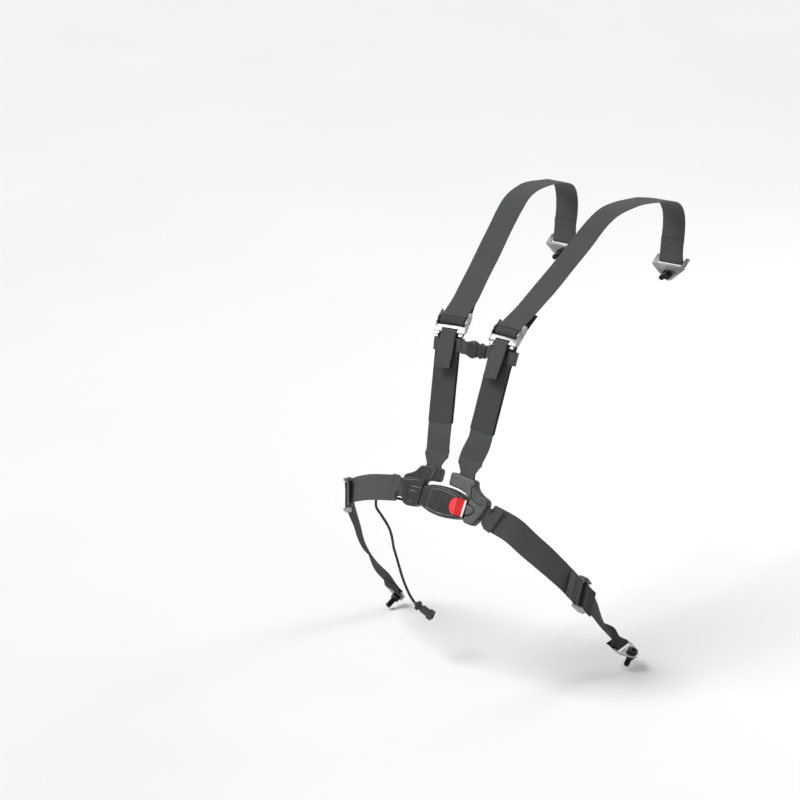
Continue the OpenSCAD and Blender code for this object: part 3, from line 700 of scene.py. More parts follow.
for word, sign in SIDES.items():
    body = word + "_half"
    mirror = sign < 0
    slot_x, slot_y = (43.3, 47.3) if mirror else (31.5, 46)

    belt = Belt(shoulder_stations(), mirror=mirror, ripple=0.6)
    name = "shoulder_belt_" + word
    new_object(name, belt.mesh(name), WEBBING, body, "shoulder_webbing_" + word)
    v0, v1 = belt.near_start(17, FOLD_R), belt.near_start(SHOULDER_TAIL - 4, FOLD_R)
    back_v = SHOULDER_TAIL - 17
    sew(
        name + "_stitching", body, belt,
        (box_and_cross(20, v0, v1), 1), (box_and_cross(20, 3, back_v), 1),
    )

    belt = Belt(lower_stations(slot_x, slot_y), mirror=mirror, ripple=0.15)
    name = "chest_belt_" + word
    new_object(name, belt.mesh(name), WEBBING, body, "lower_webbing_" + word)
    v0, v1 = belt.near_end(FLARE + 15, FOLD_R, 2), belt.near_end(FLARE + 2, FOLD_R, 2)
    sew(
        name + "_stitching", body, belt,
        (box_and_cross(21, v0, v1), -1), (box_and_cross(21, belt.length - 2, belt.length - 15), -1),
    )

    belt = Belt(flap_stations(), mirror=mirror, ripple=0.1)
    name = "flap_" + word
    new_object(name, belt.mesh(name), WEBBING_DARK, body, "backing_flap_" + word)
    sew(
        name + "_stitching", body, belt,
        *both_faces(rows_across(21, 4, 7.5)), *both_faces([[(-22, 4), (-22, 60)], [(22, 4), (22, 60)]]),
    )

    # the roll is made in the darker sleeve webbing so that it reads darker than the belt beside it: painted
    # shade
    verts, uvs, faces = bar_roll()
    name = "bar_roll_painted_shade_" + word
    new_object(name, mesh_of(name, verts, faces, belt.mirror @ ADJUSTER, uvs, 60), WEBBING_DARK, body)
    # a near-black strip in the crease above the roll: painted shadow where the webbing meets the roll
    name = "roll_painted_shadow_" + word
    lip = Belt(
        [st(put(ADJUSTER, 0, y, z), adjuster_across, 48) for y, z in ((6.5, 4.6), (9, 3.4), (11.5, 2.5))],
        mirror=mirror, ripple=0,
    )
    new_object(name, lip.mesh(name, 10, 1.4), PAINTED_SHADE_STRIP, body)

    tab_body = "tab_" + word
    # a near-black strip beside each pull strap's edge: painted shadow
    belt = Belt(tab_shadow_stations(4 * sign), mirror=mirror, ripple=0)
    name = "pull_strap_painted_shadow_" + word
    new_object(name, belt.mesh(name, 10), PAINTED_SHADE_STRIP, tab_body)

    belt = Belt(tab_stations(), mirror=mirror, ripple=0)
    new_object("pull_strap_" + word, belt.mesh(tab_body, 10), WEBBING, tab_body, "pull_tab_" + word)
    end = belt.length
    sew(
        "pull_strap_stitching_" + word, tab_body, belt,
        (box_and_cross(11.5, 4, 26), -1), (box_and_cross(11.5, end - 4, end - 26), -1),
        (box_and_cross(11.5, 4, 26), 1), (box_and_cross(11.5, end - 4, end - 26), 1),
    )


# ---------------------------------------------------------------- sleeves and sternum strap
SLEEVE_LEN = 163


def flat_loop(half_w, half_t, r, n=4):
    """A rounded rectangle in x and z."""
    out = []
    for cx, cz, a0 in ((1, 1, 0), (-1, 1, 90), (-1, -1, 180), (1, -1, 270)):
        for k in range(n + 1):
            a = math.radians(a0 + 90 * k / n)
            out.append((cx * (half_w - r) + r * math.cos(a), cz * (half_t - r) + r * math.sin(a)))
    return out


def dense(loop, step):
    out = []
    for (x0, y0), (x1, y1) in zip(loop, loop[1:] + loop[:1]):
        n = max(1, round(math.hypot(x1 - x0, y1 - y0) / step))
        out += [(x0 + (x1 - x0) * k / n, y0 + (y1 - y0) * k / n) for k in range(n)]
    return out


def tube_shell(outer, inner, rows, wobble):
    """A sewn tube: outer and inner loops in x and z, swept along y through rows."""
    verts, uvs = [], []
    for loop in (outer, inner):
        for y in rows:
            u = 0.0
            for k, (x, z) in enumerate(loop):
                if k:
                    u += math.hypot(x - loop[k - 1][0], z - loop[k - 1][1])
                verts.append((x, y, z + wobble(x, y)))
                uvs.append((u, y))
    n, layer = len(outer), len(outer) * len(rows)
    faces = skin(len(rows), n) + skin(len(rows), n, layer)
    for rim in (0, layer - n):
        ring = [(rim + k, rim + (k + 1) % n) for k in range(n)]
        faces += [[a, b, layer + b, layer + a] for a, b in ring]
    return verts, uvs, faces


def sleeve_wobble(x, y):
    end = max(0.0, min(1.0, min(-50 - y, y + SLEEVE_LEN) / 25))  # smooth where the keeper slides
    return 0.35 * end * noise.noise(Vector((x * 0.05, y * 0.045, 3.1)))


def paired(outer, inner, shrink_x, shrink_z, middle=0.0):
    """The inner loop's point that belongs to each point of the outer one."""

    def gap(q, x, z):
        return math.hypot(q[0] - x * shrink_x, q[1] + middle - (z + middle) * shrink_z)

    return [min(inner, key=lambda q: gap(q, x, z)) for x, z in outer]


class Flat:
    """A flat face in a local frame, for stitches: u is x, v is -y."""

    def __init__(self, place, z, mirror=False):
        self.place, self.z = place, z
        self.mirror = sided(mirror)

    def at(self, u, v, side):
        return (
            put(self.place, u, -v, side * self.z), axis(self.place, (0, -1, 0)),
            axis(self.place, (1, 0, 0)), axis(self.place, (0, 0, side)),
        )


KEEPER_DROP, KEEPER_MIDDLE = 3, 4.1  # below the sleeve's top, and behind its middle
STRAP_AT = put(SLEEVE, 0, -KEEPER_DROP - STRAP_W / 2, 0)
STRAP = shift(0, STRAP_AT.y, STRAP_AT.z) @ spin("X", 72)
CLIP_X, CLIP_ENDS = 6, {"left": -20, "right": 19}

for word, sign in SIDES.items():
    body, mirror = word + "_half", sign < 0
    place = sided(mirror) @ SLEEVE
    rows = [-22 - (SLEEVE_LEN - 22) * k / 60 for k in range(61)]
    outer, inner = dense(flat_loop(26.4, 2.1, 1.9), 3.2), dense(flat_loop(25.4, 1.2, 1.15), 3.2)
    verts, uvs, faces = tube_shell(outer, paired(outer, inner, 0.962, 0.57), rows, sleeve_wobble)
    name = "chest_sleeve_" + word
    new_object(name, mesh_of(name, verts, faces, place, uvs, 60), WEBBING_DARK, body, "sleeve_" + word)
    face = Flat(SLEEVE, 2.1, mirror)
    seam = [[(-24, 26), (-24, 160)], [(24, 26), (24, 160)]]
    hems = rows_across(23.5, 25.5, 144, 159.5)
    sew(name + "_stitching", body, face, *both_faces(seam + hems))
    # a near-black strip over the edge on the wearer's left side of each sleeve, the same side on both:
    # painted shade along the sleeves' shaded edges
    loop, edge_x = dense(flat_loop(2.0, 2.28, 1.3), 1.2), 24.9 * sign
    verts, uvs, faces = tube_shell(
        [(x + edge_x, z) for x, z in loop], [(x * 0.8 + edge_x, z * 0.8) for x, z in loop],
        rows, lambda x, y: sleeve_wobble(26 * sign, y),
    )
    name = "sleeve_painted_shade_" + word
    new_object(name, mesh_of(name, verts, faces, place, uvs, 60), PAINTED_SHADE_STRIP, body)

    strap_body = "sternum_" + word
    loop = [(x, z - KEEPER_MIDDLE) for x, z in dense(flat_loop(30.2, 7.6, 2.6), 3)]
    inside = [(x, z - KEEPER_MIDDLE) for x, z in dense(flat_loop(28.9, 6.5, 1.5), 3)]
    inside = paired(loop, inside, 0.957, 0.855, KEEPER_MIDDLE)
    rows = [-KEEPER_DROP - STRAP_W * k / 10 for k in range(11)]
    verts, uvs, faces = tube_shell(loop, inside, rows, lambda x, y: 0.0)
    uvs = [(v, u) for u, v in uvs]
    name = "sternum_loop_" + word
    new_object(
        name, mesh_of(name, verts, faces, place, uvs, 60), WEBBING, strap_body, "sternum_keeper_" + word
    )
    inner_x = CLIP_X + CLIP_ENDS[word] - 1.5 * sign
    run = [inner_x + (sign * 29.2 - inner_x) * f for f in (0, 0.33, 0.66, 1)]
    strap = Belt([st(put(STRAP, x, 0, 0.8), axis(STRAP, (0, 1, 0)), STRAP_W) for x in run], steps=5, ripple=0)
    slant = Matrix(((1, 0.088 * sign, 0, 0), (0, 1, 0, 0), (0, 0, 1, 0), (0, 0, 0, 1)))
    strap.mirror = STRAP @ slant @ STRAP.inverted()  # its end follows the leaning loop
    name = "sternum_strap_" + word
    new_object(name, strap.mesh(name, 8), WEBBING, strap_body)
    sew(name + "_stitching", strap_body, strap, *both_faces(rows_across(10, strap.length - 2.5)))


# ---------------------------------------------------------------- lap belts
LAP_BAR = {"left": (-89, 2, 0), "right": (78.5, -2, 0)}
LAP_ALONG = {
    "left": Vector((-1, 0, 0)),
    "right": axis(BUCKLE @ spin("Z", -23), (1, 0, -0.12)),
}
INNER_ROUTE = {
    "left": [
        ((-150, -602, -305), (0, 0.42, 0.9)), ((-185, -592, -316), (-0.1, 0.4, 0.9)),
        ((-220, -577, -332), (-0.2, 0.45, 0.85)), ((-246, -561, -348), (-0.3, 0.48, 0.82)),
    ],
    "right": [
        ((140, -603, -326), (0.2, 0.5, 0.8)), ((171, -592, -354), (0.1, 0.58, 0.78)),
        ((201, -573, -387), (0, 0.65, 0.74)), ((225, -548, -424), (-0.1, 0.69, 0.72)),
    ],
}
OUTER_ROUTE = {
    "left": [
        ((-281, -503, -425), (-0.38, 0.6, 0.7)), ((-289, -478, -464), (-0.4, 0.65, 0.35)),
        ((-292, -452, -506), (-0.5, 0.75, 0)), ((-288, -428, -545), (-0.8, 0.55, 0.1)),
        ((-279, -408, -582), (-0.95, 0.2, 0.1)),
    ],
    "right": [
        ((244, -482, -494), (-0.35, 0.78, 0.5)), ((242, -452, -528), (-0.42, 0.8, 0.25)),
        ((238, -422, -560), (-0.5, 0.8, -0.1)), ((235, -397, -588), (-0.5, 0.8, -0.3)),
        ((237, -382, -606), (-0.2, 0.95, -0.15)),
    ],
}
ANCHOR_SLOT = 19
for word, sign in SIDES.items():
    body, hip, anchor = word + "_half", HIP[word], ANCHOR[word]
    facing = -sign  # which way up the webbing runs on this side
    along = LAP_ALONG[word]
    w = axis(BUCKLE, (0, 0, facing)).cross(-along).normalized()
    bar = put(BUCKLE, *LAP_BAR[word])
    stations = (
        wide_tail(bar, along, w, LAP_FLARE)[::-1]
        + fold(bar, along, w, 29, FOLD_R, 20)[::-1]
        + [st(bar + LAP_FLARE * along + LAYER * w.cross(along), w, BELT_W)]
        + [st(p, q, BELT_W) for p, q in INNER_ROUTE[word]]
        + fold(put(hip, 0, -9, -3), axis(hip, (0, -1, 0)), axis(hip, (facing, 0, 0)), BELT_W, FOLD_R, 40)
    )
    belt = Belt(stations, ripple=0.5)
    name = "lap_belt_inner_" + word
    new_object(name, belt.mesh(name), WEBBING, body, "lap_inner_webbing_" + word)
    v0, v1 = belt.near_start(LAP_FLARE + 2, FOLD_R, 2), belt.near_start(LAP_FLARE + 15, FOLD_R, 2)
    e0, e1 = belt.near_end(17, FOLD_R), belt.near_end(36, FOLD_R)
    sew(
        name + "_stitching", body, belt,
        (box_and_cross(21, v0, v1), 1), (box_and_cross(21, 2, 15), 1),
        (box_and_cross(20, e1, e0), -1), (box_and_cross(20, belt.length - 3, belt.length - 22), -1),
    )
    slot_bar = put(anchor, 0, ANCHOR_SLOT + 7, 1.5)
    stations = (
        fold(put(hip, 0, 6, 0), axis(hip, (0, 1, 0)), axis(hip, (facing, 0, 0)), BELT_W, BAR_FOLD_R, 45)[::-1]
        + [st(p, q, BELT_W) for p, q in OUTER_ROUTE[word]]
        + fold(slot_bar, axis(anchor, (0, 1, 0)), axis(anchor, (-1, 0, 0)), 42, FOLD_R, 22)
    )
    belt = Belt(stations, ripple=0.5)
    name = "lap_belt_outer_" + word
    # near-black webbing on the outer lap belts: painted shade
    new_object(name, belt.mesh(name), WEBBING_PAINTED_SHADE, body, "lap_outer_webbing_" + word)
    e0, e1 = belt.near_end(12, FOLD_R), belt.near_end(30, FOLD_R)
    sew(
        name + "_stitching", body, belt,
        (rows_across(18, 3, 7), 1),
        (box_and_cross(16, e1, e0), -1), (box_and_cross(16, belt.length - 2, belt.length - 12), -1),
    )


# ---------------------------------------------------------------- moulded covers
def inside_of(points, loop):
    x, y = points[:, 0], points[:, 1]
    hit = np.zeros(len(points), bool)
    for (x0, y0), (x1, y1) in zip(loop, loop[1:] + loop[:1]):
        if y0 == y1:
            continue
        cross = (y0 > y) != (y1 > y)
        hit ^= cross & (x < (x1 - x0) * (y - y0) / (y1 - y0) + x0)
    return hit


def distance_to(points, loop, closed=True):
    best = np.full(len(points), 1e9)
    pairs = zip(loop, loop[1:] + loop[:1]) if closed else zip(loop, loop[1:])
    for a, b in pairs:
        a, b = np.array(a, float), np.array(b, float)
        ab = b - a
        t = np.clip(((points - a) @ ab) / max(ab @ ab, 1e-9), 0, 1)
        best = np.minimum(best, np.linalg.norm(points - (a + t[:, None] * ab), axis=1))
    return best


def step_up(x, lo, hi):
    t = np.clip((x - lo) / (hi - lo), 0, 1)
    return t * t * (3 - 2 * t)


def round_edge(d, r):
    """How far the face drops at a distance d from an edge rounded to r."""
    q = np.clip(d, 0, r)
    return r - np.sqrt(np.maximum(r * r - (r - q) ** 2, 0))


def soft_corners(loop, r=1.5, n=4):
    """The loop with its corners rounded."""
    out = []
    for i, p in enumerate(loop):
        p = Vector(p)
        before, after = Vector(loop[i - 1]) - p, Vector(loop[(i + 1) % len(loop)]) - p
        reach = min(r, before.length * 0.45, after.length * 0.45)
        a, b = p + before.normalized() * reach, p + after.normalized() * reach
        for k in range(n + 1):
            f = k / n
            q = a.lerp(p, f).lerp(p.lerp(b, f), f)
            out.append((q.x, q.y))
    return out


EDGE_RINGS = (0.22, 0.5, 0.9, 1.4)  # rings of points beside an edge, so that its rounding is smooth


def beside(loop, offset):
    """Points at an offset on both sides of a closed loop."""
    out = []
    for (x0, y0), (x1, y1), (x2, y2) in zip(loop[-1:] + loop[:-1], loop, loop[1:] + loop[:1]):
        t = Vector((x2 - x0, y2 - y0)).normalized()
        out += [(x1 - s * t.y * offset, y1 + s * t.x * offset) for s in (-1, 1)]
    return out


def moulding(outline, face, bottom, hole=None, step=0.9):
    """A closed solid: its face follows face(points, edge distance) over the outline, and its back is flat."""
    loops = [dense(outline, step)] + ([dense(hole, step)] if hole else [])
    fixed = [p for loop in loops for p in loop]
    edges, base = [], 0
    for loop in loops:
        n = len(loop)
        edges += [(base + k, base + (k + 1) % n) for k in range(n)]
        base += n
    xs, ys = zip(*loops[0])
    # staggered rows, so that the triangles are nearly regular
    grid = [
        (x + (0.5 * step if row % 2 else 0), y)
        for row, y in enumerate(np.arange(min(ys), max(ys), step * 0.87))
        for x in np.arange(min(xs), max(xs), step)
    ]
    rings = [(*q, offset) for loop in loops for offset in EDGE_RINGS for q in beside(loop, offset)]
    rings, grid = np.array(rings), np.array(grid)

    def depth(points):
        d = distance_to(points, loops[0])
        return np.minimum(d, distance_to(points, loops[1])) if hole else d

    def within(points):
        ok = inside_of(points, loops[0])
        return ok & ~inside_of(points, loops[1]) if hole else ok

    # no point may crowd an edge: a ring's points stay at about its offset, the grid's lie further in
    keep_ring = within(rings[:, :2]) & (depth(rings[:, :2]) > rings[:, 2] * 0.93)
    keep_grid = within(grid) & (depth(grid) > 1.7)
    points = np.vstack([np.array(fixed), rings[keep_ring, :2], grid[keep_grid]])
    flat, _, tris, *_ = geometry.delaunay_2d_cdt([Vector(p) for p in points], edges, [], 0, 1e-4)
    flat = np.array([(p.x, p.y) for p in flat])
    centres = np.array([flat[list(t)].mean(axis=0) for t in tris])
    tris = [list(t) for t, good in zip(tris, within(centres)) if good]
    top = face(flat, depth(flat))
    n = len(flat)
    verts = [(x, y, z) for (x, y), z in zip(flat, top)] + [(x, y, bottom) for x, y in flat]
    faces = tris + [[n + i for i in reversed(t)] for t in tris]
    sides = dict.fromkeys((a, b) for t in tris for a, b in zip(t, t[1:] + t[:1]))
    faces += [[b, a, n + a, n + b] for a, b in sides if (b, a) not in sides]
    used = sorted({i for f in faces for i in f})
    index = {old: new for new, old in enumerate(used)}
    return [verts[i] for i in used], [[index[i] for i in f] for f in faces]


def prism(loop, z0, z1):
    n = len(loop)
    verts = [(x, y, z0) for x, y in loop] + [(x, y, z1) for x, y in loop]
    return verts, end_caps(2, n) + skin(2, n)


def box(x0, x1, y0, y1):
    return [(x0, y0), (x1, y0), (x1, y1), (x0, y1)]


def turned_box(at, angle, x0, x1, y0, y1):
    c, s = math.cos(math.radians(angle)), math.sin(math.radians(angle))
    return [(at[0] + x * c - y * s, at[1] + x * s + y * c) for x, y in box(x0, x1, y0, y1)]


def carved(name, solid, hollows, place):
    """The solid with the hollows cut from it, as a mesh in place."""
    obj = placed(name, mesh_of(name, *solid))
    cutters = []
    for i, hollow in enumerate(hollows):
        cutter = placed("cutter", mesh_of("cutter", *hollow))
        cut = obj.modifiers.new("cut%d" % i, "BOOLEAN")
        cut.object, cut.operation, cut.solver = cutter, "DIFFERENCE", "EXACT"
        cutters.append(cutter)
    apply_modifiers(obj)
    mesh = obj.data
    for cutter in cutters + [obj]:
        bpy.data.objects.remove(cutter)
    flip = place.determinant() < 0
    mesh.transform(Matrix.Scale(MM, 4) @ place @ Matrix.Scale(1 / MM, 4))
    if flip:
        mesh.flip_normals()
    mesh.shade_smooth()
    mesh.set_sharp_from_angle(angle=math.radians(40))
    return mesh


CASE_H, COVER_H, WALL, LINK_CORNER = 13, 9, 2.2, 1.6
CASE_L, CASE_R = -52, 47
BUTTON_RIDGE, RIDGE_HALF, BUTTON_GAP = 28.5, 0.8, 0.4


def case_half(x, inset):
    return 28.5 - inset - 10.5 * ((x + 2) / 50) ** 2


def case_outline(inset, n=24):
    x0, x1 = CASE_L + inset, CASE_R - inset
    xs = [x0 + (x1 - x0) * k / n for k in range(n + 1)]
    return [(x, -case_half(x, inset)) for x in xs] + [(x, case_half(x, inset)) for x in reversed(xs)]


def button_outline(gap, n=24):
    r = 16.5 + gap
    arc = [math.radians(90 + 180 * k / n) for k in range(n + 1)]
    return [(46.6 + gap, -r), (46.6 + gap, r)] + [(30 + r * math.cos(a), r * math.sin(a)) for a in arc]


def case_face(p, d):
    x, y = p[:, 0], p[:, 1]
    rim = distance_to(p, case_outline(0))
    # a slight dome, with a chamfer and a rounding at the rim
    z = CASE_H - 0.5 * (x / 50) ** 2 - 0.6 * (y / 28) ** 2
    z -= 2.2 * (1 - np.clip((rim - 1.0) / 2.6, 0, 1)) + round_edge(rim, 1.6)
    # a groove that follows the rim, and two steps down towards the left end
    z -= 1.1 * np.exp(-(((rim - 6.8) / 0.9) ** 2)) * step_up(x, -34, -30)
    z -= 1.3 * (1 - np.clip((x + 32.4) / 2.6, 0, 1)) + 1.2 * (1 - np.clip((x + 50.5) / 2.4, 0, 1))
    # a line across the panel, then the rounded edge round the button
    z -= 0.9 * np.clip(1 - np.abs(x + 9) / 1.6, 0, 1) * step_up(rim, 7, 9)
    return z - round_edge(distance_to(p, button_outline(BUTTON_GAP)), 0.7)


def button_face(p, d):
    """Two slopes that meet in a raised ridge."""
    ridge = p[:, 0] - BUTTON_RIDGE
    z = CASE_H + 2.0 - 0.21 * np.maximum(0, -ridge) - 0.3 * np.maximum(0, ridge)
    z += 0.8 * np.clip(1 - np.abs(ridge) / 1.5, 0, 1)
    return z - round_edge(d, 1.3)


solid = moulding(case_outline(0), case_face, 0, hole=button_outline(BUTTON_GAP))
hollows = [
    prism(case_outline(WALL), -1, CASE_H - WALL - 1.6),
    prism(box(CASE_R - 4, CASE_R + 1, -14, 14), -1, 2),
    prism(box(CASE_L - 1, CASE_L + 4, -16, 16), -1, 1.6),
]
new_object(
    "case_top", carved("case_top", solid, hollows, CASE), CASE_PLASTIC, "left_half", "buckle_front_cover",
)
BUTTON_EDGE = soft_corners(button_outline(0), 1.2)
# the left slope and the ridge are separate pieces in lighter reds: painted light on the slope, a painted
# highlight on the ridge
for name, x0, x1, material in (
    ("button", BUTTON_RIDGE + RIDGE_HALF, 50, RED_PLASTIC),
    ("button_facet", 0, BUTTON_RIDGE - RIDGE_HALF, RED_LIT_FACET),
    ("button_ridge", BUTTON_RIDGE - RIDGE_HALF, BUTTON_RIDGE + RIDGE_HALF, RED_HIGHLIGHT),
):
    outline = [q for q in dense(BUTTON_EDGE, 0.4) if x0 <= q[0] <= x1]
    solid = moulding(outline, lambda p, d: button_face(p, distance_to(p, BUTTON_EDGE)), 6, step=0.8)
    nodes = ["release_button"] if name == "button" else []
    new_object(name, carved(name, solid, [], CASE), material, "button", *nodes)


FAR_IN = 9.0  # an edge distance past every rounding


def strip_face(p, d):
    return button_face(p, np.full(len(p), FAR_IN)) + 0.12 - round_edge(d, 0.25)


solid = moulding(soft_corners(box(43.2, 46.9, -16.2, 16.2), 0.8), strip_face, CASE_H - 5, step=0.6)
new_object("button_strip", carved("button_strip", solid, [], CASE), WHITE_PLASTIC, "button")

RIGHT_OUTER = [
    (0.5, 33), (0.5, 52), (3, 55.5), (9, 56), (22, 54), (49, 51), (55, 49), (57, 44), (58.5, 39), (63, 33),
    (67, 30), (75, 25), (86, 21), (90, 17), (91.5, 11), (89, 2), (84, -11), (76, -24), (70, -32), (66, -33.5),
    (60, -33), (50, -31), (47, -28.5), (47.4, -23), (49.9, 12.5), (46, 16), (42.5, 20), (38, 23), (30, 26),
    (20, 28.3), (3, 30.5),
]
RIGHT_INNER = [
    (4, 36), (4, 50), (9, 52.5), (22, 51), (47, 48), (52, 46), (55, 38), (60, 31), (65, 27), (74, 22),
    (84, 18), (87, 15), (88, 11), (86, 2), (81, -11), (73, -23), (68, -29.5), (60, -30), (51, -28),
    (50.4, -23), (52.9, 14), (48, 19.5), (43, 24.5), (32, 29.5), (20, 31.5),
]
RIGHT_RIBS = [(50, 38), (53, 15), (79, 4), (87, 11), (85, 17), (74, 21.5), (65, 27), (58, 35), (55, 40)]
RIGHT_WELL = [(44, 8), (55, 5), (63, 2), (69, -3), (68, -9), (62, -16), (52, -20), (44, -20)]
LEFT_OUTER = [
    (21.5, 36), (21, 50), (23, 56), (28, 57.5), (50, 57), (66, 54), (70, 48.5), (75, 42), (84, 36.5),
    (92, 33.5), (96, 30), (98.5, 24), (99, 18), (96.5, 0), (93, -13), (91, -19), (86, -23), (78, -25.5),
    (66, -24.5), (58.5, -22.5), (55.2, -19), (51.9, 20), (50.5, 26), (47, 29), (42, 30.3), (30, 31),
    (24, 32),
]
LEFT_INNER = [
    (25, 39), (24.5, 50), (28, 54), (50, 54), (64, 51), (68, 46), (73, 39), (84, 33), (90, 30.5), (94, 27),
    (95.5, 18), (93.5, 0), (90, -13), (87, -18), (84, -20), (77, -22.5), (67, -21.5), (58.5, -18), (55, 21),
    (53, 28), (48, 32), (42, 33.5), (30, 34.5),
]
LEFT_RIBS = [(64, 35), (67, 29), (92, 26), (93, 30), (84, 33.5), (74, 38.5)]
LEFT_GROOVE = [(60, 40), (62, 27.5), (95, 23)]
LEFT_FLOOR = 5.9  # past its rounded edge the face stays above this, so that it covers the slots under it
LEFT_FIELD = [(57, 10), (87, 11), (85, 0), (77, -14), (69, -18), (65, -14), (60, 0)]


def signed(p, loop):
    """Distance from a closed loop, negative inside it."""
    d = distance_to(p, loop)
    return np.where(inside_of(p, loop), -d, d)


def ribs(p, zone, direction, pitch, height):
    d = signed(p, zone)
    s = (p @ np.array(direction)) / pitch
    wave = np.abs((s % 1) * 2 - 1)
    return height * (1 - step_up(d, -1.2, 0)) * (wave - 1)


def right_face(p, d):
    return COVER_H - round_edge(d, 2.0) - 0.75 * np.maximum(0, 6.5 - p[:, 0])


def right_field_face(p, d):
    return COVER_H - 0.6 - round_edge(d, 1.4) - 0.06 * (p[:, 0] - 47)


def right_ribs_face(p, d):
    return COVER_H - 0.3 - round_edge(d, 1.2) + ribs(p, RIGHT_RIBS, (0.85, -0.5), 4.8, 1.9)


def left_face(p, d):
    x, y = p[:, 0], p[:, 1]
    z = COVER_H - round_edge(d, 2.0)
    crease = 36.8 - 0.27 * (y - 43) - x  # a slanting edge across the arm, past which the end falls away
    z -= np.minimum(2.7, 0.5 * np.maximum(0, crease))
    z += 0.8 * np.clip(1 - np.abs(crease - 0.5) / 1.6, 0, 1)
    # the part below the arm lies lower
    z -= 1.8 * (1 - step_up(y - (18 - 0.19 * (x - 60)), -2.2, 1.0))
    # the field: a sunken edge with a raised rim round it and a raised middle
    d_well = signed(p, LEFT_FIELD)
    z -= 1.9 * (1 - step_up(d_well, -2.4, 0)) * step_up(-d_well, -0.1, 0.3)
    z += 1.0 * np.clip(1 - np.abs(d_well - 1.2) / 1.4, 0, 1) + 1.2 * step_up(-d_well, 5, 7.5)
    z += ribs(p, LEFT_RIBS, (0.95, 0.3), 4.6, 1.5)
    z -= 1.0 * np.clip(1 - distance_to(p, LEFT_GROOVE, False) / 1.4, 0, 1)
    return np.where(d > 2.2, np.maximum(z, LEFT_FLOOR), z)


def inset(loop, by):
    """The loop moved inwards."""
    points = dense(soft_corners(loop, LINK_CORNER), 1.0)
    moved = np.array(beside(points, by))
    ok = inside_of(moved, points) & (distance_to(moved, points) > by * 0.97)
    return [(float(x), float(y)) for x, y in moved[ok]]


def dark_base(p, d):
    return 6.9 - round_edge(d, 2.2) - 1.4 * (1 - step_up(signed(p, RIGHT_WELL), 0, 2.4))


# outline, hollow's outline, face, shoulder slot's x, lap slot's place and turn, neck's y range, frame
LINKS = {
    "right": (RIGHT_OUTER, RIGHT_INNER, dark_base, 31.5, (78.5, -2), -23, (-18.7, 5.5), BUCKLE),
    "left": (LEFT_OUTER, LEFT_INNER, left_face, 43.3, (89, 2), 0, (-14.5, 17.5), BUCKLE @ MIRROR),
}
panel = moulding(inset(RIGHT_OUTER, 1.9), right_face, 6.0)
field = [(45.6, 7), *RIGHT_WELL[1:-1], (45.6, -20)]
for name, solid, hollows in (
    ("right_link_panel", panel, [prism(RIGHT_WELL, 5, 12), prism(RIGHT_RIBS, 5, 12)]),
    ("right_link_field", moulding(inset(field, 3.2), right_field_face, 4.6), []),
    ("right_link_ribs", moulding(inset(RIGHT_RIBS, 1.3), right_ribs_face, 6.0), []),
):
    new_object(name, carved(name, solid, hollows, BUCKLE), LINK_PLASTIC, "right_half")
for word, (outer, inner, face, slot_x, lap, lap_turn, neck, place) in LINKS.items():
    solid = moulding(soft_corners(outer, LINK_CORNER), face, 0)
    hollows = [
        prism(inner, -1, 3.2),
        prism(box(slot_x - 17.3, slot_x + 17.3, 36, 64), -0.9, 5.3),
        prism(turned_box(lap, lap_turn, -5.4, 26, -15.8, 15.8), -0.8, 5.3),
        prism(box(43, 60, *neck), -0.7, 2.2),
    ]
    name = word + "_link_top"
    new_object(
        name, carved(name, solid, hollows, place), CASE_PLASTIC, word + "_half", word + "_link_front_cover",
    )
    refined(word + "_link_rear_cover", CASE_PLASTIC, 1.2, name=word + "_link_back")
refined("buckle_rear_cover", CASE_PLASTIC, 1.4, name="case_back")


def bead(name, line, face, place, width=1.3):
    """A painted highlight: a slim raised line of lighter plastic along points on a face."""
    a, b = Vector(line[0]), Vector(line[1])
    t = (b - a).normalized()
    side = Vector((-t.y, t.x)) * width / 2
    outline = [tuple(a - side), tuple(b - side), tuple(b + side), tuple(a + side)]

    def raised(p, d):
        return face(p, np.full(len(p), FAR_IN)) + 0.25 - round_edge(d, 0.4)

    solid = moulding(soft_corners(outline, 0.5), raised, 4.5, step=0.5)
    new_object(name, carved(name, solid, [], place), HIGHLIGHT_PLASTIC, "left_half")


bead("case_end_line", [(-49.2, -15), (-49.2, 15)], case_face, CASE)
bead("case_panel_line_1", [(-31, -21), (-31, 21)], case_face, CASE)
bead("case_panel_line_2", [(-9, -18), (-9, 17)], case_face, CASE, 0.9)
bead("left_arm_line", [(34.4, 53.5), (39.8, 33.5)], left_face, BUCKLE @ MIRROR, 1.7)

# ---------------------------------------------------------------- hardware
for word in SIDES:
    for stem, bevel in (
        ("adjuster_frame_", 0.55), ("shoulder_bracket_", 0.7), ("lap_adjuster_", 0.55), ("lap_anchor_", 0.8),
        ("adjuster_bar_", 0.5), ("lap_bar_", 0.5),
    ):
        refined(stem + word, BRIGHT, bevel)
    for stem in ("shoulder_nut_", "lap_nut_"):
        refined(stem + word, BLACK_STEEL, 0.9, 4)
for node, material, bevel in (
    ("tongue_plate", BRIGHT, 0.35), ("buckle_frame", BRIGHT, 0.35), ("latch_pawl", BRIGHT, 0.4),
    ("ejector", BLACK_PLASTIC, 0.3), ("buckle_switch", BLACK_PLASTIC, 0.4),
    ("cover_screws", BLACK_STEEL, 0.3), ("right_link_screws", BLACK_STEEL, 0.3),
):
    refined(node, material, bevel)


def lathe(profile, n=48):
    """A turned shape about z from (r, z) points, closed by a flat face at each end."""
    verts = []
    for r, z in profile:
        verts += [(r * math.cos(2 * math.pi * k / n), r * math.sin(2 * math.pi * k / n), z) for k in range(n)]
    return verts, skin(len(profile), n) + end_caps(len(profile), n)


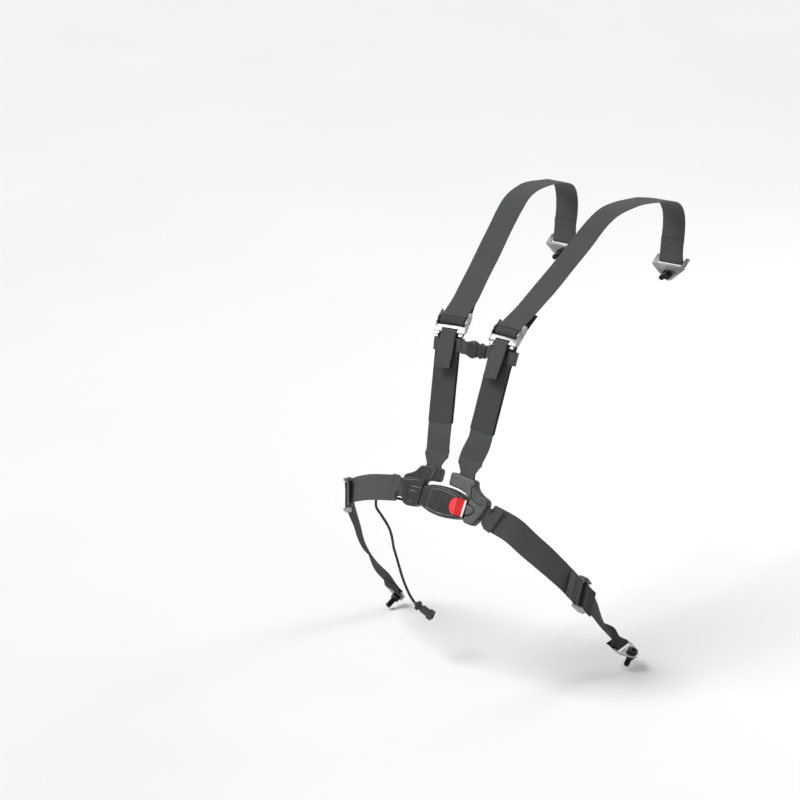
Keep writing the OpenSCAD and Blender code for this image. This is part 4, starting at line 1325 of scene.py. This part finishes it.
def threaded(r, depth, pitch, z0, z1, n=40, per_turn=8):
    """A screw thread with a tapered lead-in at its free end."""
    rows = round((z1 - z0) / pitch * per_turn)
    verts = []
    for i in range(rows + 1):
        z = z0 + (z1 - z0) * i / rows
        lead_in = min(1.0, (z1 - z) / 1.6)
        for k in range(n):
            phase = (z / pitch - k / n) % 1
            cut = depth * max(0.0, 1 - abs(phase * 2 - 1) * 1.5)
            rr = min(r - cut, r - depth * (1 - lead_in))
            a = 2 * math.pi * k / n
            verts.append((rr * math.cos(a), rr * math.sin(a), z))
    return verts, skin(rows + 1, n) + end_caps(rows + 1, n)


BOLT_R, NUT_H, STUD_FREE, GRIP = 5.5, 9, 20, 3.1


def bolt_shape():
    top, base = -GRIP, -GRIP - 7
    head = [(3.6, base + 4), (3.9, base + 0.3), (4.6, base), (8.9, base), (9.7, base + 0.5), (10, base + 1.4)]
    for k in range(24):  # a ring of fine grip grooves round the head reads as knurling
        z = base + 1.8 + k * 0.18
        head.append((10 - (0.16 if k % 2 else 0), z))
    head += [(10, top - 0.5), (9.6, top), (5.3, top)]
    shank = [(5.25, top - 0.3), (5.25, NUT_H + 0.2)]
    return joined([lathe(head), lathe(shank), threaded(BOLT_R, 0.6, 1.27, NUT_H - 0.1, NUT_H + STUD_FREE)])


bolt_verts, bolt_faces = bolt_shape()
for word, sign in SIDES.items():
    shoulder = sided(sign < 0) @ shift(ANCHOR_X, BRACKET_Y, 0) @ spin("X", 90)
    for kind, place in (("shoulder", shoulder), ("lap", ANCHOR[word] @ shift(0, 0, 3))):
        name = f"{kind}_screw_{word}"
        mesh = mesh_of(name, bolt_verts, bolt_faces, place, sharp=30)
        new_object(name, mesh, BLACK_STEEL, f"{kind}_fixing_{word}", f"{kind}_bolt_{word}")


def barrel(stations, n=40):
    """A bulged block along x through stations of (x, half height, half thickness), rounded across."""
    verts = []
    line = smooth(stations, 4)
    for x, h, t in line:
        for k in range(n):
            c, s = math.cos(2 * math.pi * k / n), math.sin(2 * math.pi * k / n)
            verts.append((x, h * math.copysign(abs(c) ** 0.45, c), t * math.copysign(abs(s) ** 0.6, s)))
    return verts, skin(len(line), n) + end_caps(len(line), n)


def block(x0, x1, y0, y1, z0, z1):
    return prism(box(x0, x1, y0, y1), z0, z1)


CLIP = STRAP @ shift(CLIP_X, 0, BELT_T / 2)
socket_shape = barrel([
    (-20, 13, 3.6), (-19.2, 13.8, 4.2), (-16, 14.4, 4.6), (-11, 16.6, 5.4), (-6, 16.8, 5.4), (-2, 15, 5.0),
    (0.6, 14.2, 4.4), (2, 13.9, 4.1),
])
plug_shape = barrel([
    (2.5, 9.5, 3.4), (3.2, 10.6, 3.9), (5, 10.8, 4.0), (7.5, 14.2, 4.6), (10, 15, 4.9), (12, 13.8, 4.6),
    (15, 12.8, 4.0), (18.2, 12.8, 3.6), (19, 12.4, 3.2),
])
new_object(
    "clip_socket", carved("clip_socket", socket_shape, [block(-16, 3, -13.5, 13.5, -3.2, 3.2)], CLIP),
    BLACK_PLASTIC, "sternum_left", "sternum_socket",
)
prongs = [block(-8, 4.5, y, y + 3, -2.9, 2.9) for y in (-12.5, 9.5)] + [block(-9, 4.5, -2, 2, -2.4, 2.4)]
clip_plug = mesh_of("clip_plug", *joined([plug_shape] + prongs), CLIP, sharp=40)
new_object("clip_plug", clip_plug, BLACK_PLASTIC, "sternum_right", "sternum_plug")

gland = [(2.7, 0.0), (3.4, 0.2), (3.8, 0.8)]
for k in range(7):  # the tapered strain relief is ribbed
    z = 1.6 + k * 3.1
    r = 3.8 + 1.7 * z / 24
    gland += [(r, z), (r, z + 1.8), (r - 0.75, z + 2.1), (r - 0.75, z + 2.8)]
gland += [(5.5, 23.4), (6.1, 24), (6.5, 24.4), (6.5, 28.6), (6.1, 29), (2.0, 29)]
mesh = mesh_of("lead_gland_ribbed", *lathe(gland), shift(*LEAD[0]) @ spin("Y", 90), sharp=40)
new_object("lead_gland_ribbed", mesh, RUBBER, "left_half", "lead_gland")


def coil(r, wire, x0, x1, turns, n=18):
    """A compression spring along x."""
    verts = []
    rows = turns * n
    for i in range(rows + 1):
        a = 2 * math.pi * i / n
        centre = Vector((x0 + (x1 - x0) * i / rows, r * math.cos(a), r * math.sin(a)))
        out = Vector((0, math.cos(a), math.sin(a)))
        for k in range(8):
            b = math.radians(45 * k)
            verts.append(centre + (out * math.cos(b) + Vector((1, 0, 0)) * math.sin(b)) * wire)
    return verts, skin(rows + 1, 8) + end_caps(rows + 1, 8)


mesh = mesh_of("ejector_spring", *coil(1.85, 0.33, -33, -16.8, 9), CASE @ shift(0, 0, 0.2))
new_object("ejector_spring", mesh, BRIGHT, "left_half", "buckle_springs")


# ---------------------------------------------------------------- studio
def floor_material():
    m = Nodes("floor", "floor", (0.86, 0.86, 0.85), 0.85)
    cloud = m.noise(1.5, 3)
    m.colour(m.ramp(cloud, (0.2, (0.85, 0.85, 0.845)), (0.8, (0.88, 0.88, 0.875))))
    m.set(m.shader, Specular_IOR_Level=0.1)
    return m.material


FLOOR_SIZE = 36.0
floor_z = cad_box[0][2] - 0.004
half = FLOOR_SIZE / 2
mesh = bpy.data.meshes.new("floor")
corners = [(x, y, floor_z) for x, y in ((-half, -half), (half, -half), (half, half), (-half, half))]
mesh.from_pydata(corners, [], [(0, 1, 2, 3)])
mesh.materials.append(floor_material())
floor = placed("floor", mesh)

CENTRE = Vector((0, -0.3, -0.25))  # about the object's middle, which the area light faces


def area_light(name, direction, distance, size, power):
    data = bpy.data.lights.new(name, "AREA")
    data.shape, data.size, data.energy = "DISK", size, power
    obj = placed(name, data)
    d = Vector(direction).normalized()
    obj.location = CENTRE + d * distance
    obj.rotation_euler = d.to_track_quat("Z", "Y").to_euler()


def soft_sun(name, direction, strength, softness):
    """An even, soft light from far off, so the floor is as bright far away as under the object."""
    data = bpy.data.lights.new(name, "SUN")
    data.energy, data.angle = strength, math.radians(softness)
    obj = placed(name, data)
    obj.rotation_euler = Vector(direction).to_track_quat("Z", "Y").to_euler()


soft_sun("key", (-0.55, -0.55, 1.1), 2.6, 28)
soft_sun("fill", (0.9, -0.9, 0.35), 0.35, 50)
area_light("rim", (0.4, 1.0, 0.7), 2.6, 1.2, 16)
world = bpy.data.worlds.new("studio")
world.use_nodes = True
sky = world.node_tree.nodes["Background"]
sky.inputs["Color"].default_value = (1, 1, 1, 1)
sky.inputs["Strength"].default_value = 0.34
bpy.context.scene.world = world
bpy.context.scene.view_settings.view_transform = "Standard"
